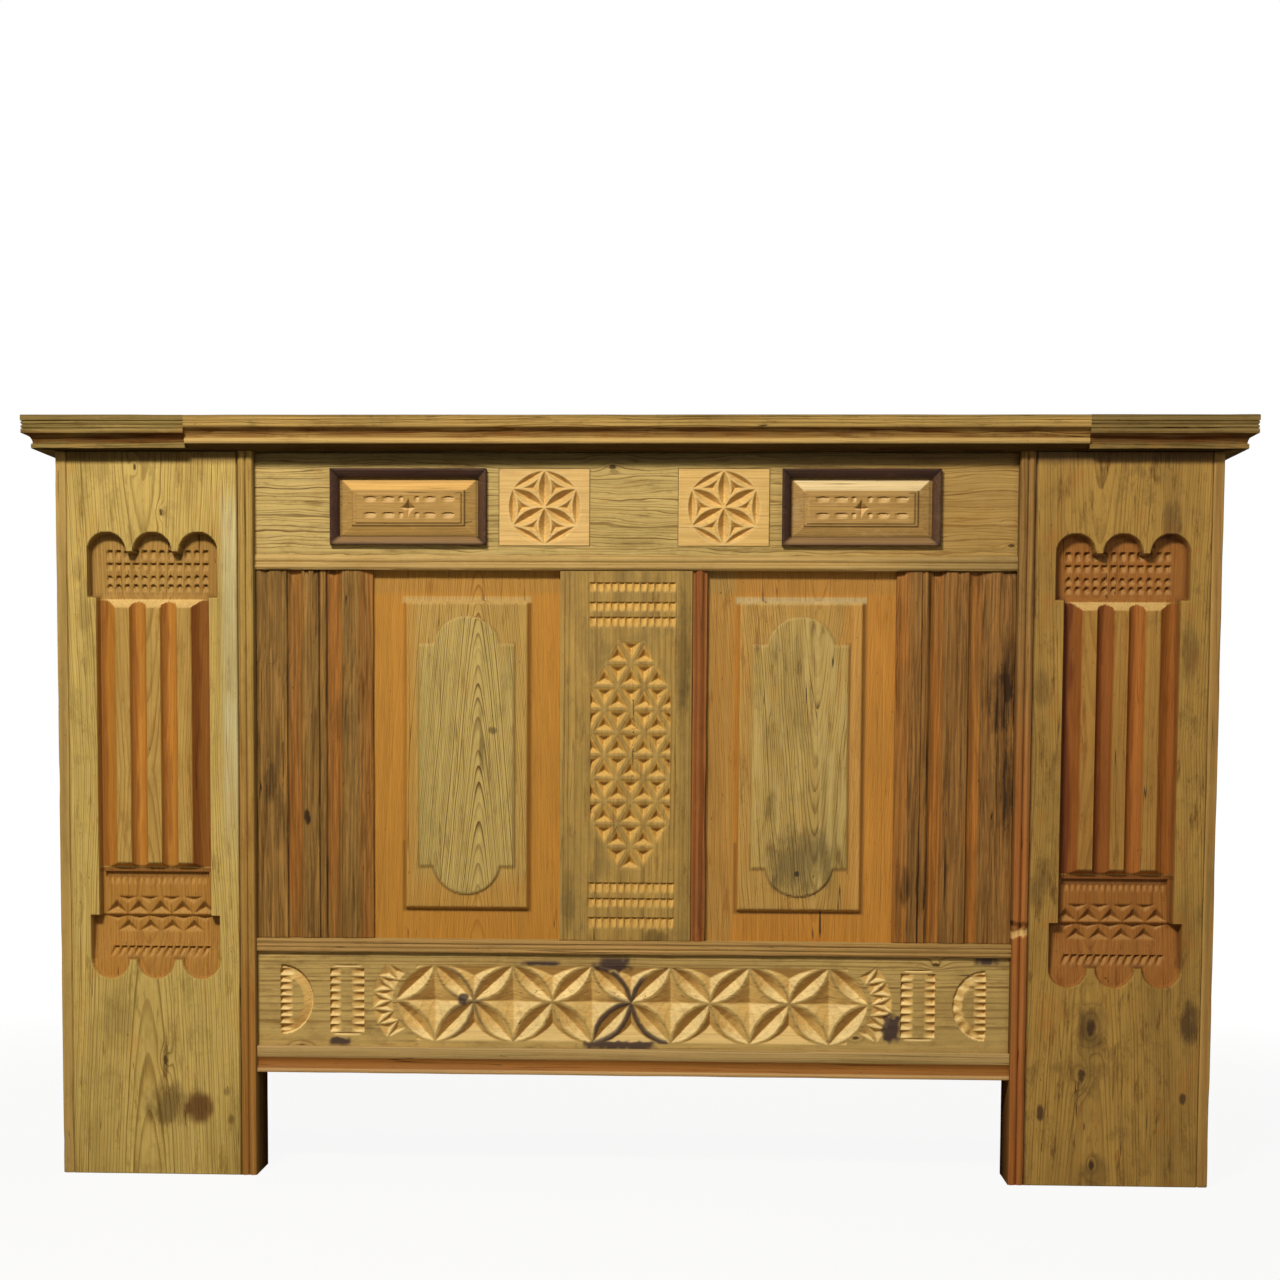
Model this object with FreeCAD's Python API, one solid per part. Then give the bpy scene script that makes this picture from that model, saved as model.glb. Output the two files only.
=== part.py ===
import FreeCAD, Part
import math
import os

# Carved pine bar cabinet in millimetres. +Z is up, the guests' side faces -Y, and the origin lies on the
# floor under the middle of the overall box. Two carved pilasters carry a frieze, a panelled field and a base
# rail; a moulded cornice runs round three edges of the top; the servers' side has shelves and two doors.

# Overall size
HEIGHT = 1070.0
BODY_DEPTH = 463.0
REAR_OVERHANG = 40.0

# Cornice moulding, from its top down
CORNICE_OUT = 37.0
CORNICE_FILLET = 8.0
CORNICE_REEDS = 2
CORNICE_REED = 5.5
CORNICE_REED_SINK = 2.5
CORNICE_BAND = 6.0
CORNICE_BAND_IN = 0.5
CORNICE_COVE = 13.0
CORNICE_LIP = 7.0
CORNICE_LIP_OUT = 2.0
CORNICE_END_LENGTH = 190.0

# Bar top and what carries it
TOP_THICK = 24.0
BEARER_WIDTH = 25.0
BEARER_DROP = 25.0

# End planks
END_THICK = 15.0
END_PLANK_FRONT = 230.0
END_TONGUE_THICK = 5.0
END_TONGUE_LENGTH = 5.0
END_CHAMFER = 2.0
END_NOSE = 4.0

# Pilasters
PILASTER_WIDTH = 279.0
PILASTER_THICK = 32.0
CHEEK_THICK = 22.0
CHEEK_DEPTH = 82.0
CHEEK_REED_DEPTH = 3.0

# Niche cut in each pilaster: three arches above and below, with a narrower neck between
NICHE_DEPTH = 18.0
ARCH_RADIUS = 27.5
ARCH_PITCH = 65.0
NICHE_DROP = 112.0
UPPER_POCKET_HEIGHT = 92.0
LOWER_POCKET_HEIGHT = 91.0
NICHE_FOOT = 281.0
NECK_WIDTH = 160.0

# Fluted block left standing in the neck
FLUTE_HEAD_GAP = 2.0
FLUTE_FOOT_GAP = 68.0
FLUTE_FILLET = 20.0
FLUTE_PITCH = 43.5
FLUTE_DEPTH = 9.0
FLUTE_SLOPE = 19.0
FLUTE_SINK = 2.0
FLUTE_BEVEL = 12.0

# Front frame: rails lie behind the pilaster face, stiles a little behind the rails
FRAME_SET_BACK = 15.0
RAIL_THICK = 40.0
RAIL_TENON_LENGTH = 12.0
RAIL_TENON_THICK = 14.0
RAIL_TENON_HAUNCH = 20.0
PANEL_GROOVE_SET = 15.0
PANEL_GROOVE_WIDTH = 10.0
PANEL_GROOVE_DEPTH = 10.0
PANEL_FIT = 0.3
PANEL_PLAY = 1.0

# Weathered fluted stiles, measured inwards from the pilaster cheek
STILE_WIDTH = 166.0
STILE_SET_BACK = 2.0
STILE_BAND = 44.0
STILE_FLUTE = 22.0
STILE_FLUTE_DEPTH = 6.0
STILE_FILLET = 25.0
STILE_BEAD = 9.0
STILE_BEAD_SINK = 3.0
STILE_EDGE = 12.0
STILE_EDGE_DROP = 5.0

# Centre stile and the bead strip on its right edge
CENTRE_WIDTH = 186.0
CENTRE_SET_BACK = 1.0
CENTRE_BEAD_WIDTH = 20.0
CENTRE_BEAD_NOSE = 5.0

# Raised panels
PANEL_WIDTH = 265.0
PANE_SIDE_MARGIN = 43.5
PANE_END_MARGIN = 42.0
PANE_RISE = 8.0
LOZENGE_SIDE_MARGIN = 21.0
LOZENGE_END_MARGIN = 61.0
LOZENGE_SHOULDER = 20.5
LOZENGE_ARC_RISE = 39.0
LOZENGE_RISE = 3.5

# Frieze ornaments: bead strip, two framed tablets and two rosette blocks
FRIEZE_BEAD_HEIGHT = 20.0
FRIEZE_BEAD_OUT = 3.0
FRIEZE_BEAD_ROOT = 1.0
ORNAMENT_CLEAR_HEAD = 22.5
ORNAMENT_CLEAR_FOOT = 13.5
TABLET_GAP = 17.5
TABLET_FRAME_WIDTH = 220.0
TABLET_FRAME_HEIGHT = 106.0
TABLET_BAR = 14.0
TABLET_BAR_OUT = 9.0
TABLET_BAR_INNER_OUT = 3.0
TABLET_LAP = 5.0
TABLET_SEAT = 12.0
TABLET_MARGIN_SINK = 4.0
TABLET_BEVEL = 18.0
TABLET_BEVEL_RISE = 5.0
TABLET_STEP = 4.0
TABLET_STEP_RISE = 2.5
ROSETTE_GAP = 124.0
ROSETTE_WIDTH = 127.0
ROSETTE_HEIGHT = 107.0
ROSETTE_SEAT = 14.0
ROSETTE_DISC = 102.0
ROSETTE_DISC_SINK = 2.0
ROSETTE_PETALS = 6
ROSETTE_PETAL_WIDTH = 18.0
ROSETTE_PETAL_DEPTH = 6.0

# Base rail and the mouldings planted on it
BASE_FOOT = 148.0
BASE_CAP_HEIGHT = 19.0
BASE_CAP_OUT = 7.0
BASE_CAP_REEDS = 3
BASE_CAP_ROOT = 5.0
BASE_FOOT_HEIGHT = 38.0
BASE_FOOT_OUT = 8.0
BASE_FOOT_COVE = 18.0
BASE_FOOT_TOE = 5.0

# Carving on the base rail: a band of leaf-shaped chips between two half-moons
PETAL_TIP_GAP = 2.0
BASE_PETAL_CELLS = 6
BASE_PETAL_PITCH = 112.0
BASE_PETAL_HALF_HEIGHT = 52.0
BASE_PETAL_CLEAR_HEAD = 17.0
BASE_PETAL_CLEAR_FOOT = 14.0
BASE_PETAL_WIDTH = 25.0
BASE_PETAL_DEPTH = 6.0
MOON_INSET = 34.0
MOON_WIDTH = 46.0
MOON_HEIGHT = 101.0
MOON_DEPTH = 3.0

# Cabinet floor, ledgers and partitions
LEDGER_WIDTH = 25.0
LEDGER_HEIGHT = 24.0
FLOOR_THICK = 22.0
PARTITION_THICK = 22.0
PARTITION_OFFSET = 360.0

# Rear frame
POST_SIZE = 60.0
REAR_FRAME_THICK = 24.0
REAR_BOTTOM_RAIL = 80.0
REAR_TOP_RAIL = 60.0
DOOR_POST_WIDTH = 46.0

# Shelves
SHELF_LEVEL = 600.0
SHELF_THICK = 20.0
CLEAT_SIZE = 18.0
CLEAT_END_GAP = 12.0

# Doors
DOOR_THICK = 22.0
DOOR_GAP = 1.5
DOOR_MEETING_GAP = 2.0
DOOR_STOP_GAP = 0.5
DOOR_STILE = 55.0
DOOR_RAIL = 62.0
DOOR_GROOVE_WIDTH = 8.0
DOOR_GROOVE_DEPTH = 10.0
DOOR_PANEL_MARGIN = 26.0
DOOR_PANEL_RISE = 5.0
KNOB_LEVEL = 640.0
KNOB_RADIUS = 15.0
KNOB_NECK_RADIUS = 8.0
KNOB_FOOT_RADIUS = 11.0
KNOB_FOOT = 4.0
KNOB_NECK = 8.0
KNOB_HEAD = 14.0

# Surface hinges
HINGE_HEIGHT = 64.0
HINGE_INSET = 90.0
LEAF_WIDTH = 28.0
LEAF_THICK = 1.8
KNUCKLE_RADIUS = 4.0
KNUCKLE_FACE_GAP = 0.35
KNUCKLE_END_GAP = 0.3
PIN_RADIUS = 1.8
PIN_FIT = 0.05
PIN_HEAD_RADIUS = 3.2
PIN_HEAD = 2.0

# Turn button that holds the doors
BUTTON_LENGTH = 72.0
BUTTON_WIDTH = 20.0
BUTTON_THICK = 11.0
BUTTON_DROP = 18.0
WASHER_RADIUS = 8.0
WASHER_THICK = 1.0
SCREW_RADIUS = 3.0
SCREW_FIT = 0.05
SCREW_HEAD_RADIUS = 6.0
SCREW_HEAD = 3.0
SCREW_HEAD_GAP = 0.3
SCREW_DEPTH = 18.0

# Places that follow from the sizes above
PANEL_X = (CENTRE_WIDTH + CENTRE_BEAD_WIDTH) / 2
CENTRE_SEAM_X = PANEL_X - CENTRE_BEAD_WIDTH
STILE_X = PANEL_X + PANEL_WIDTH
BAY_HALF = STILE_X + STILE_WIDTH
HALF = BAY_HALF + PILASTER_WIDTH
DEPTH = CORNICE_OUT + BODY_DEPTH + REAR_OVERHANG
FACE_Y = CORNICE_OUT - DEPTH / 2
BACK_Y = FACE_Y + BODY_DEPTH
TOP_REAR_Y = DEPTH / 2
CORNICE_HEIGHT = CORNICE_FILLET + CORNICE_REEDS * CORNICE_REED + CORNICE_BAND + CORNICE_COVE + CORNICE_LIP
BODY_TOP = HEIGHT - CORNICE_HEIGHT
TOP_UNDER = HEIGHT - TOP_THICK
END_INNER = HALF - END_THICK
NICHE_HEAD = BODY_TOP - NICHE_DROP
UPPER_POCKET_FOOT = NICHE_HEAD - UPPER_POCKET_HEIGHT
LOWER_POCKET_HEAD = NICHE_FOOT + LOWER_POCKET_HEIGHT
FLUTE_HEAD = UPPER_POCKET_FOOT - FLUTE_HEAD_GAP
FLUTE_FOOT = LOWER_POCKET_HEAD + FLUTE_FOOT_GAP
ORNAMENT_LEVEL = BODY_TOP - ORNAMENT_CLEAR_HEAD - max(ROSETTE_HEIGHT, TABLET_FRAME_HEIGHT) / 2
ORNAMENT_FOOT = ORNAMENT_LEVEL - max(ROSETTE_HEIGHT, TABLET_FRAME_HEIGHT) / 2
FRIEZE_FOOT = ORNAMENT_FOOT - ORNAMENT_CLEAR_FOOT - FRIEZE_BEAD_HEIGHT
ROSETTE_OFFSET = (ROSETTE_GAP + ROSETTE_WIDTH) / 2
TABLET_OFFSET = ROSETTE_OFFSET + ROSETTE_WIDTH / 2 + TABLET_GAP + TABLET_FRAME_WIDTH / 2
BASE_PETAL_LEVEL = BASE_FOOT + BASE_FOOT_HEIGHT + BASE_PETAL_CLEAR_FOOT + BASE_PETAL_HALF_HEIGHT
BASE_HEAD = BASE_PETAL_LEVEL + BASE_PETAL_HALF_HEIGHT + BASE_PETAL_CLEAR_HEAD + BASE_CAP_HEIGHT
MOON_OFFSET = BAY_HALF - MOON_INSET
RAIL_Y = FACE_Y + FRAME_SET_BACK
FRAME_BACK_Y = RAIL_Y + RAIL_THICK
GROOVE_Y = RAIL_Y + PANEL_GROOVE_SET
GROOVE_BACK_Y = GROOVE_Y + PANEL_GROOVE_WIDTH
CHEEK_BACK_Y = FACE_Y + CHEEK_DEPTH
POST_Y = BACK_Y - POST_SIZE
POST_X = END_INNER - POST_SIZE
REAR_FRAME_Y = BACK_Y - REAR_FRAME_THICK
FLOOR_UNDER = BASE_FOOT + LEDGER_HEIGHT
FLOOR_TOP = FLOOR_UNDER + FLOOR_THICK
TOP_RAIL_FOOT = TOP_UNDER - REAR_TOP_RAIL
DOOR_OPEN_HALF = PARTITION_OFFSET - DOOR_POST_WIDTH / 2
DOOR_Y = BACK_Y - DOOR_THICK
DOOR_FOOT = FLOOR_TOP + DOOR_GAP
DOOR_HEAD = TOP_RAIL_FOOT - DOOR_GAP
DOOR_INNER_X = DOOR_MEETING_GAP / 2
DOOR_OUTER_X = DOOR_OPEN_HALF - DOOR_GAP
HINGE_X = DOOR_OPEN_HALF - DOOR_GAP / 2
HINGE_Y = BACK_Y + KNUCKLE_FACE_GAP + KNUCKLE_RADIUS

PLANES = {
    "x": lambda u, v, at: FreeCAD.Vector(at, u, v),
    "y": lambda u, v, at: FreeCAD.Vector(u, at, v),
    "z": lambda u, v, at: FreeCAD.Vector(u, v, at),
}
AXES = {"x": FreeCAD.Vector(1, 0, 0), "y": FreeCAD.Vector(0, 1, 0), "z": FreeCAD.Vector(0, 0, 1)}

os.makedirs("parts", exist_ok=True)


def box(x0, x1, y0, y1, z0, z1):
    """A block between three pairs of planes."""
    return Part.makeBox(x1 - x0, y1 - y0, z1 - z0, FreeCAD.Vector(x0, y0, z0))


def prism(axis, low, high, start, *steps):
    """An outline carried along an axis. A step is an end point, or an arc's middle point and end point."""
    place = PLANES[axis]
    edges = []
    here = start
    for step in list(steps) + [start]:
        end = step[1] if isinstance(step[0], tuple) else step
        if isinstance(step[0], tuple):
            edges.append(Part.Arc(place(*here, low), place(*step[0], low), place(*end, low)).toShape())
        elif end != here:
            edges.append(Part.makeLine(place(*here, low), place(*end, low)))
        here = end
    face = Part.Face(Part.Wire(edges))
    return face.extrude(AXES[axis] * (high - low))


def cylinder(axis, radius, centre, low, high):
    """A round bar along an axis, centred on a point of the other two coordinates."""
    return Part.makeCylinder(radius, high - low, PLANES[axis](*centre, low), AXES[axis])


def mirrored(shape):
    """The left-hand twin of a right-hand piece."""
    return shape.mirror(FreeCAD.Vector(0, 0, 0), FreeCAD.Vector(1, 0, 0))


def reeds(count, start, end, root, crown):
    """Arc steps of half-round reeds in a row from start to end, rising from root to crown and back."""
    pitch = (end - start) / count
    return [((crown, start + pitch * (i + 0.5)), (root, start + pitch * (i + 1))) for i in range(count)]


def turned(steps):
    """The same steps with their two coordinates exchanged."""
    return [tuple(point[::-1] for point in step) for step in steps]


def save(name, *solids):
    """Writes a node, of one solid or of a group of like solids."""
    shape = solids[0] if len(solids) == 1 else Part.makeCompound(list(solids))
    shape.exportStep(f"parts/{name}.step")


def save_pair(name, shape):
    """Writes a right-hand piece and its left-hand twin."""
    save(f"{name}_right", shape)
    save(f"{name}_left", mirrored(shape))


# Cornice: one moulding section, run along the front in three spliced lengths and, mitred, back along the ends
def cornice_section():
    """The section as a start point and steps, outwards from the body's face and up from the floor."""
    reed_top = HEIGHT - CORNICE_FILLET
    reed_foot = reed_top - CORNICE_REEDS * CORNICE_REED
    band_foot = reed_foot - CORNICE_BAND
    lip_top = BODY_TOP + CORNICE_LIP
    radius = band_foot - lip_top
    band_out = CORNICE_OUT - CORNICE_BAND_IN
    root = CORNICE_OUT - CORNICE_REED_SINK
    cove_mid = (band_out - radius * 0.5 ** 0.5, lip_top + radius * 0.5 ** 0.5)
    lip_out = band_out - radius + CORNICE_LIP_OUT
    return (-END_THICK, HEIGHT), [
        (CORNICE_OUT, HEIGHT),
        (CORNICE_OUT, reed_top),
        (root, reed_top),
        *reeds(CORNICE_REEDS, reed_top, reed_foot, root, CORNICE_OUT - CORNICE_BAND_IN),
        (band_out, reed_foot),
        (band_out, band_foot),
        (cove_mid, (band_out - radius, lip_top)),
        (lip_out, lip_top - CORNICE_LIP_OUT),
        (lip_out, BODY_TOP),
        (-END_THICK, BODY_TOP),
    ]


def outwards(point, face):
    """A section's point, from outwards of a face to a coordinate that falls as the section stands out."""
    return (face - point[0], point[1])


def placed(steps, face):
    """Section steps, set against a face that looks towards the lower coordinate."""
    return [
        tuple(outwards(p, face) for p in step) if isinstance(step[0], tuple) else outwards(step, face)
        for step in steps
    ]


start, steps = cornice_section()
cornice_left_x = -HALF - CORNICE_OUT
cornice_front_y = FACE_Y - CORNICE_OUT
front_run = prism("x", cornice_left_x, -cornice_left_x, outwards(start, FACE_Y), *placed(steps, FACE_Y))
front_wedge = prism(
    "z", BODY_TOP, HEIGHT, (cornice_left_x, cornice_front_y), (-cornice_left_x, cornice_front_y),
    (END_INNER, FACE_Y + END_THICK), (-END_INNER, FACE_Y + END_THICK),
)
front_run = front_run.common(front_wedge)
splice_x = HALF - CORNICE_END_LENGTH
for name, low, high in (
    ("left", cornice_left_x, -splice_x),
    ("middle", -splice_x, splice_x),
    ("right", splice_x, -cornice_left_x),
):
    length = box(low, high, cornice_front_y, FACE_Y + END_THICK, BODY_TOP, HEIGHT)
    save(f"cornice_front_{name}", front_run.common(length).Solids[0])

side_run = prism("y", cornice_front_y, TOP_REAR_Y, outwards(start, -HALF), *placed(steps, -HALF))
side_wedge = prism(
    "z", BODY_TOP, HEIGHT, (cornice_left_x, cornice_front_y), (-END_INNER, FACE_Y + END_THICK),
    (-END_INNER, TOP_REAR_Y), (cornice_left_x, TOP_REAR_Y),
)
save_pair("cornice_return", mirrored(side_run.common(side_wedge).Solids[0]))

# Bar top: three planks side by side between the cornice lengths, on a front batten and two end bearers
plank_names = ("front", "middle", "rear")
plank_width = (TOP_REAR_Y - FACE_Y - END_THICK) / len(plank_names)
for i, name in enumerate(plank_names):
    plank_y = FACE_Y + END_THICK + plank_width * i
    save(f"top_plank_{name}", box(-END_INNER, END_INNER, plank_y, plank_y + plank_width, TOP_UNDER, HEIGHT))

bearer_x = END_INNER - BEARER_WIDTH
end_bearer = box(bearer_x, END_INNER, FACE_Y + PILASTER_THICK, POST_Y, BODY_TOP - BEARER_DROP, TOP_UNDER)
front_batten = box(-bearer_x, bearer_x, FACE_Y + END_THICK, FRAME_BACK_Y, BODY_TOP, TOP_UNDER)
save("top_bearers", front_batten, end_bearer, mirrored(end_bearer))

# End panels: two tongued planks a side, rounded at the front corner and bevelled at the joint
joint_y = FACE_Y + END_PLANK_FRONT
tongue_x = HALF - (END_THICK + END_TONGUE_THICK) / 2
nose_mid = END_NOSE * (1 - 0.5 ** 0.5)
front_plank = prism(
    "z", 0, BODY_TOP, (END_INNER, FACE_Y), (HALF - END_NOSE, FACE_Y),
    ((HALF - nose_mid, FACE_Y + nose_mid), (HALF, FACE_Y + END_NOSE)), (HALF, joint_y - END_CHAMFER),
    (HALF - END_CHAMFER, joint_y), (tongue_x + END_TONGUE_THICK, joint_y),
    (tongue_x + END_TONGUE_THICK, joint_y + END_TONGUE_LENGTH), (tongue_x, joint_y + END_TONGUE_LENGTH),
    (tongue_x, joint_y), (END_INNER, joint_y),
)
save_pair("end_plank_front", front_plank)
groove_end_y = joint_y + END_TONGUE_LENGTH + PANEL_FIT
rear_plank = prism(
    "z", 0, BODY_TOP, (END_INNER, joint_y), (tongue_x, joint_y), (tongue_x, groove_end_y),
    (tongue_x + END_TONGUE_THICK, groove_end_y), (tongue_x + END_TONGUE_THICK, joint_y),
    (HALF - END_CHAMFER, joint_y), (HALF, joint_y + END_CHAMFER), (HALF, BACK_Y), (END_INNER, BACK_Y),
)
save_pair("end_plank_rear", rear_plank)

# Pilaster fronts: a board with the arched niche, and the fluted block left standing in its neck
board_inner = BAY_HALF + CHEEK_THICK
niche_x = (board_inner + END_INNER) / 2
niche_floor = FACE_Y + NICHE_DEPTH
pocket_half = ARCH_PITCH + ARCH_RADIUS
upper_spring = NICHE_HEAD - ARCH_RADIUS
lower_spring = NICHE_FOOT + ARCH_RADIUS


def pocket(half_width, z0, z1):
    """A square-edged part of the niche, from the board's face to the niche's floor."""
    return box(niche_x - half_width, niche_x + half_width, FACE_Y, niche_floor, z0, z1)


arches = [
    cylinder("y", ARCH_RADIUS, (niche_x + ARCH_PITCH * i, level), FACE_Y, niche_floor)
    for i in (-1, 0, 1)
    for level in (upper_spring, lower_spring)
]
niche = pocket(NECK_WIDTH / 2, LOWER_POCKET_HEAD, UPPER_POCKET_FOOT).fuse([
    pocket(pocket_half, UPPER_POCKET_FOOT, upper_spring),
    pocket(pocket_half, lower_spring, LOWER_POCKET_HEAD),
    *arches,
]).removeSplitter()

fillet_y = FACE_Y + FLUTE_SINK
block_half = FLUTE_PITCH + FLUTE_FILLET / 2
slope_mid_y = niche_floor - (niche_floor - fillet_y) * 0.3
outline = [(
    (niche_x - block_half - FLUTE_SLOPE / 2, slope_mid_y), (niche_x - block_half, fillet_y)
)]
for i in (-1, 0, 1):
    fillet_end = niche_x + FLUTE_PITCH * i + FLUTE_FILLET / 2
    outline.append((fillet_end, fillet_y))
    if i < 1:
        next_fillet = fillet_end + FLUTE_PITCH - FLUTE_FILLET
        outline.append((((fillet_end + next_fillet) / 2, fillet_y + FLUTE_DEPTH), (next_fillet, fillet_y)))
outline.append((
    (niche_x + block_half + FLUTE_SLOPE / 2, slope_mid_y), (niche_x + block_half + FLUTE_SLOPE, niche_floor)
))
block_start = (niche_x - block_half - FLUTE_SLOPE, niche_floor)
block = prism("z", FLUTE_FOOT, FLUTE_HEAD, block_start, *outline)
bevel = prism(
    "x", niche_x - pocket_half, niche_x + pocket_half, (FACE_Y, FLUTE_HEAD), (niche_floor, FLUTE_HEAD),
    (fillet_y, FLUTE_HEAD - FLUTE_BEVEL), (FACE_Y, FLUTE_HEAD - FLUTE_BEVEL),
)
board = box(board_inner, END_INNER, FACE_Y, FACE_Y + PILASTER_THICK, 0, BODY_TOP)
board = board.cut(niche).fuse(block.cut(bevel)).removeSplitter()
save_pair("pilaster_board", board.Solids[0])

# Pilaster cheeks: the inner sides, with a double reed on the front edge and mortises for the two rails
tenon_y = RAIL_Y + (RAIL_THICK - RAIL_TENON_THICK) / 2
tenon_spans = (
    (FRIEZE_FOOT + RAIL_TENON_HAUNCH, BODY_TOP - RAIL_TENON_HAUNCH),
    (BASE_FOOT + RAIL_TENON_HAUNCH, BASE_HEAD - RAIL_TENON_HAUNCH),
)


def rail_tenon(span):
    """The right-hand tenon of a front rail, as it stands in the cheek."""
    return box(BAY_HALF, BAY_HALF + RAIL_TENON_LENGTH, tenon_y, tenon_y + RAIL_TENON_THICK, *span)


cheek_root = FACE_Y + CHEEK_REED_DEPTH
cheek = prism(
    "z", 0, BODY_TOP, (BAY_HALF, cheek_root),
    *turned(reeds(2, BAY_HALF, board_inner, cheek_root, FACE_Y)),
    (board_inner, CHEEK_BACK_Y), (BAY_HALF, CHEEK_BACK_Y),
)
save_pair("pilaster_cheek", cheek.cut([rail_tenon(span) for span in tenon_spans]))


def groove(x0, x1, z0, z1):
    """A panel groove, or the tongue that fills it, in the plane of the field panels."""
    return box(x0, x1, GROOVE_Y, GROOVE_BACK_Y, z0, z1)


# Frieze: a board with seats for the ornaments, and a double bead along its foot
def ornament_seat(offset, width, height, depth):
    """A pocket in the frieze's face, or the block that fills it."""
    return box(
        offset - width / 2, offset + width / 2, RAIL_Y, RAIL_Y + depth,
        ORNAMENT_LEVEL - height / 2, ORNAMENT_LEVEL + height / 2,
    )


tablet_width = TABLET_FRAME_WIDTH - 2 * (TABLET_BAR - TABLET_LAP)
tablet_height = TABLET_FRAME_HEIGHT - 2 * (TABLET_BAR - TABLET_LAP)
tablet_seat = ornament_seat(TABLET_OFFSET, tablet_width, tablet_height, TABLET_SEAT)
rosette_seat = ornament_seat(ROSETTE_OFFSET, ROSETTE_WIDTH, ROSETTE_HEIGHT, ROSETTE_SEAT)
frieze = box(-BAY_HALF, BAY_HALF, RAIL_Y, FRAME_BACK_Y, FRIEZE_FOOT, BODY_TOP)
frieze = frieze.fuse([rail_tenon(tenon_spans[0]), mirrored(rail_tenon(tenon_spans[0]))])
frieze = frieze.cut([
    groove(-BAY_HALF, BAY_HALF, FRIEZE_FOOT, FRIEZE_FOOT + PANEL_GROOVE_DEPTH),
    tablet_seat, mirrored(tablet_seat), rosette_seat, mirrored(rosette_seat),
])
save("frieze_board", frieze.removeSplitter().Solids[0])

bead_root = RAIL_Y - FRIEZE_BEAD_ROOT
bead_top = FRIEZE_FOOT + FRIEZE_BEAD_HEIGHT
save("frieze_bead", prism(
    "x", -BAY_HALF, BAY_HALF, (RAIL_Y, FRIEZE_FOOT), (bead_root, FRIEZE_FOOT),
    *reeds(2, FRIEZE_FOOT, bead_top, bead_root, RAIL_Y - FRIEZE_BEAD_OUT), (RAIL_Y, bead_top),
))

# Tablets: small fielded panels seated in the frieze, each held by four mitred dark bars
margin_y = RAIL_Y + TABLET_MARGIN_SINK
slope_half_width = TABLET_FRAME_WIDTH / 2 - TABLET_BAR
slope_half_height = TABLET_FRAME_HEIGHT / 2 - TABLET_BAR
field_half_width = slope_half_width - TABLET_BEVEL
field_half_height = slope_half_height - TABLET_BEVEL
field_y = margin_y - TABLET_BEVEL_RISE


def tablet_rim(half_width, half_height, y):
    """A rectangle round the tablet's centre in an upright plane."""
    left, right = TABLET_OFFSET - half_width, TABLET_OFFSET + half_width
    foot, head = ORNAMENT_LEVEL - half_height, ORNAMENT_LEVEL + half_height
    corners = [(left, foot), (right, foot), (right, head), (left, head), (left, foot)]
    return Part.makePolygon([FreeCAD.Vector(x, y, z) for x, z in corners])


tablet = ornament_seat(TABLET_OFFSET, tablet_width, tablet_height, TABLET_SEAT)
tablet = tablet.cut(ornament_seat(TABLET_OFFSET, tablet_width, tablet_height, TABLET_MARGIN_SINK))
slope = Part.makeLoft(
    [
        tablet_rim(slope_half_width, slope_half_height, margin_y),
        tablet_rim(field_half_width, field_half_height, field_y),
    ],
    True, True,
)
table = box(
    TABLET_OFFSET - field_half_width + TABLET_STEP, TABLET_OFFSET + field_half_width - TABLET_STEP,
    field_y - TABLET_STEP_RISE, field_y,
    ORNAMENT_LEVEL - field_half_height + TABLET_STEP, ORNAMENT_LEVEL + field_half_height - TABLET_STEP,
)
save_pair("frieze_tablet", tablet.fuse([slope, table]).removeSplitter().Solids[0])

outer_rim = (TABLET_FRAME_WIDTH / 2, TABLET_FRAME_HEIGHT / 2)
bar_face_rim = (outer_rim[0] - TABLET_BAR / 2, outer_rim[1] - TABLET_BAR / 2)
frame_ring = Part.makeLoft(
    [
        tablet_rim(outer_rim[0], outer_rim[1], RAIL_Y),
        tablet_rim(outer_rim[0], outer_rim[1], RAIL_Y - TABLET_BAR_OUT),
    ],
    True, True,
).cut([
    Part.makeLoft(
        [
            tablet_rim(slope_half_width, slope_half_height, RAIL_Y),
            tablet_rim(slope_half_width, slope_half_height, RAIL_Y - TABLET_BAR_INNER_OUT),
            tablet_rim(bar_face_rim[0], bar_face_rim[1], RAIL_Y - TABLET_BAR_OUT),
        ],
        True, True,
    ),
])
bars = []
mitre_reach = TABLET_FRAME_HEIGHT / 2
for side in (-1, 1):
    end_x = TABLET_OFFSET + side * outer_rim[0]
    inner_x = end_x - side * mitre_reach
    side_wedge = prism(
        "y", RAIL_Y - TABLET_BAR_OUT, RAIL_Y, (end_x, ORNAMENT_LEVEL - mitre_reach),
        (end_x, ORNAMENT_LEVEL + mitre_reach), (inner_x, ORNAMENT_LEVEL),
    )
    edge_z = ORNAMENT_LEVEL + side * mitre_reach
    long_wedge = prism(
        "y", RAIL_Y - TABLET_BAR_OUT, RAIL_Y,
        (TABLET_OFFSET - outer_rim[0], edge_z), (TABLET_OFFSET + outer_rim[0], edge_z),
        (TABLET_OFFSET + outer_rim[0] - mitre_reach, ORNAMENT_LEVEL),
        (TABLET_OFFSET - outer_rim[0] + mitre_reach, ORNAMENT_LEVEL),
    )
    bars += [frame_ring.common(side_wedge).Solids[0], frame_ring.common(long_wedge).Solids[0]]
save("frieze_frame_right", *bars)
save("frieze_frame_left", *[mirrored(bar) for bar in bars])

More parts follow.
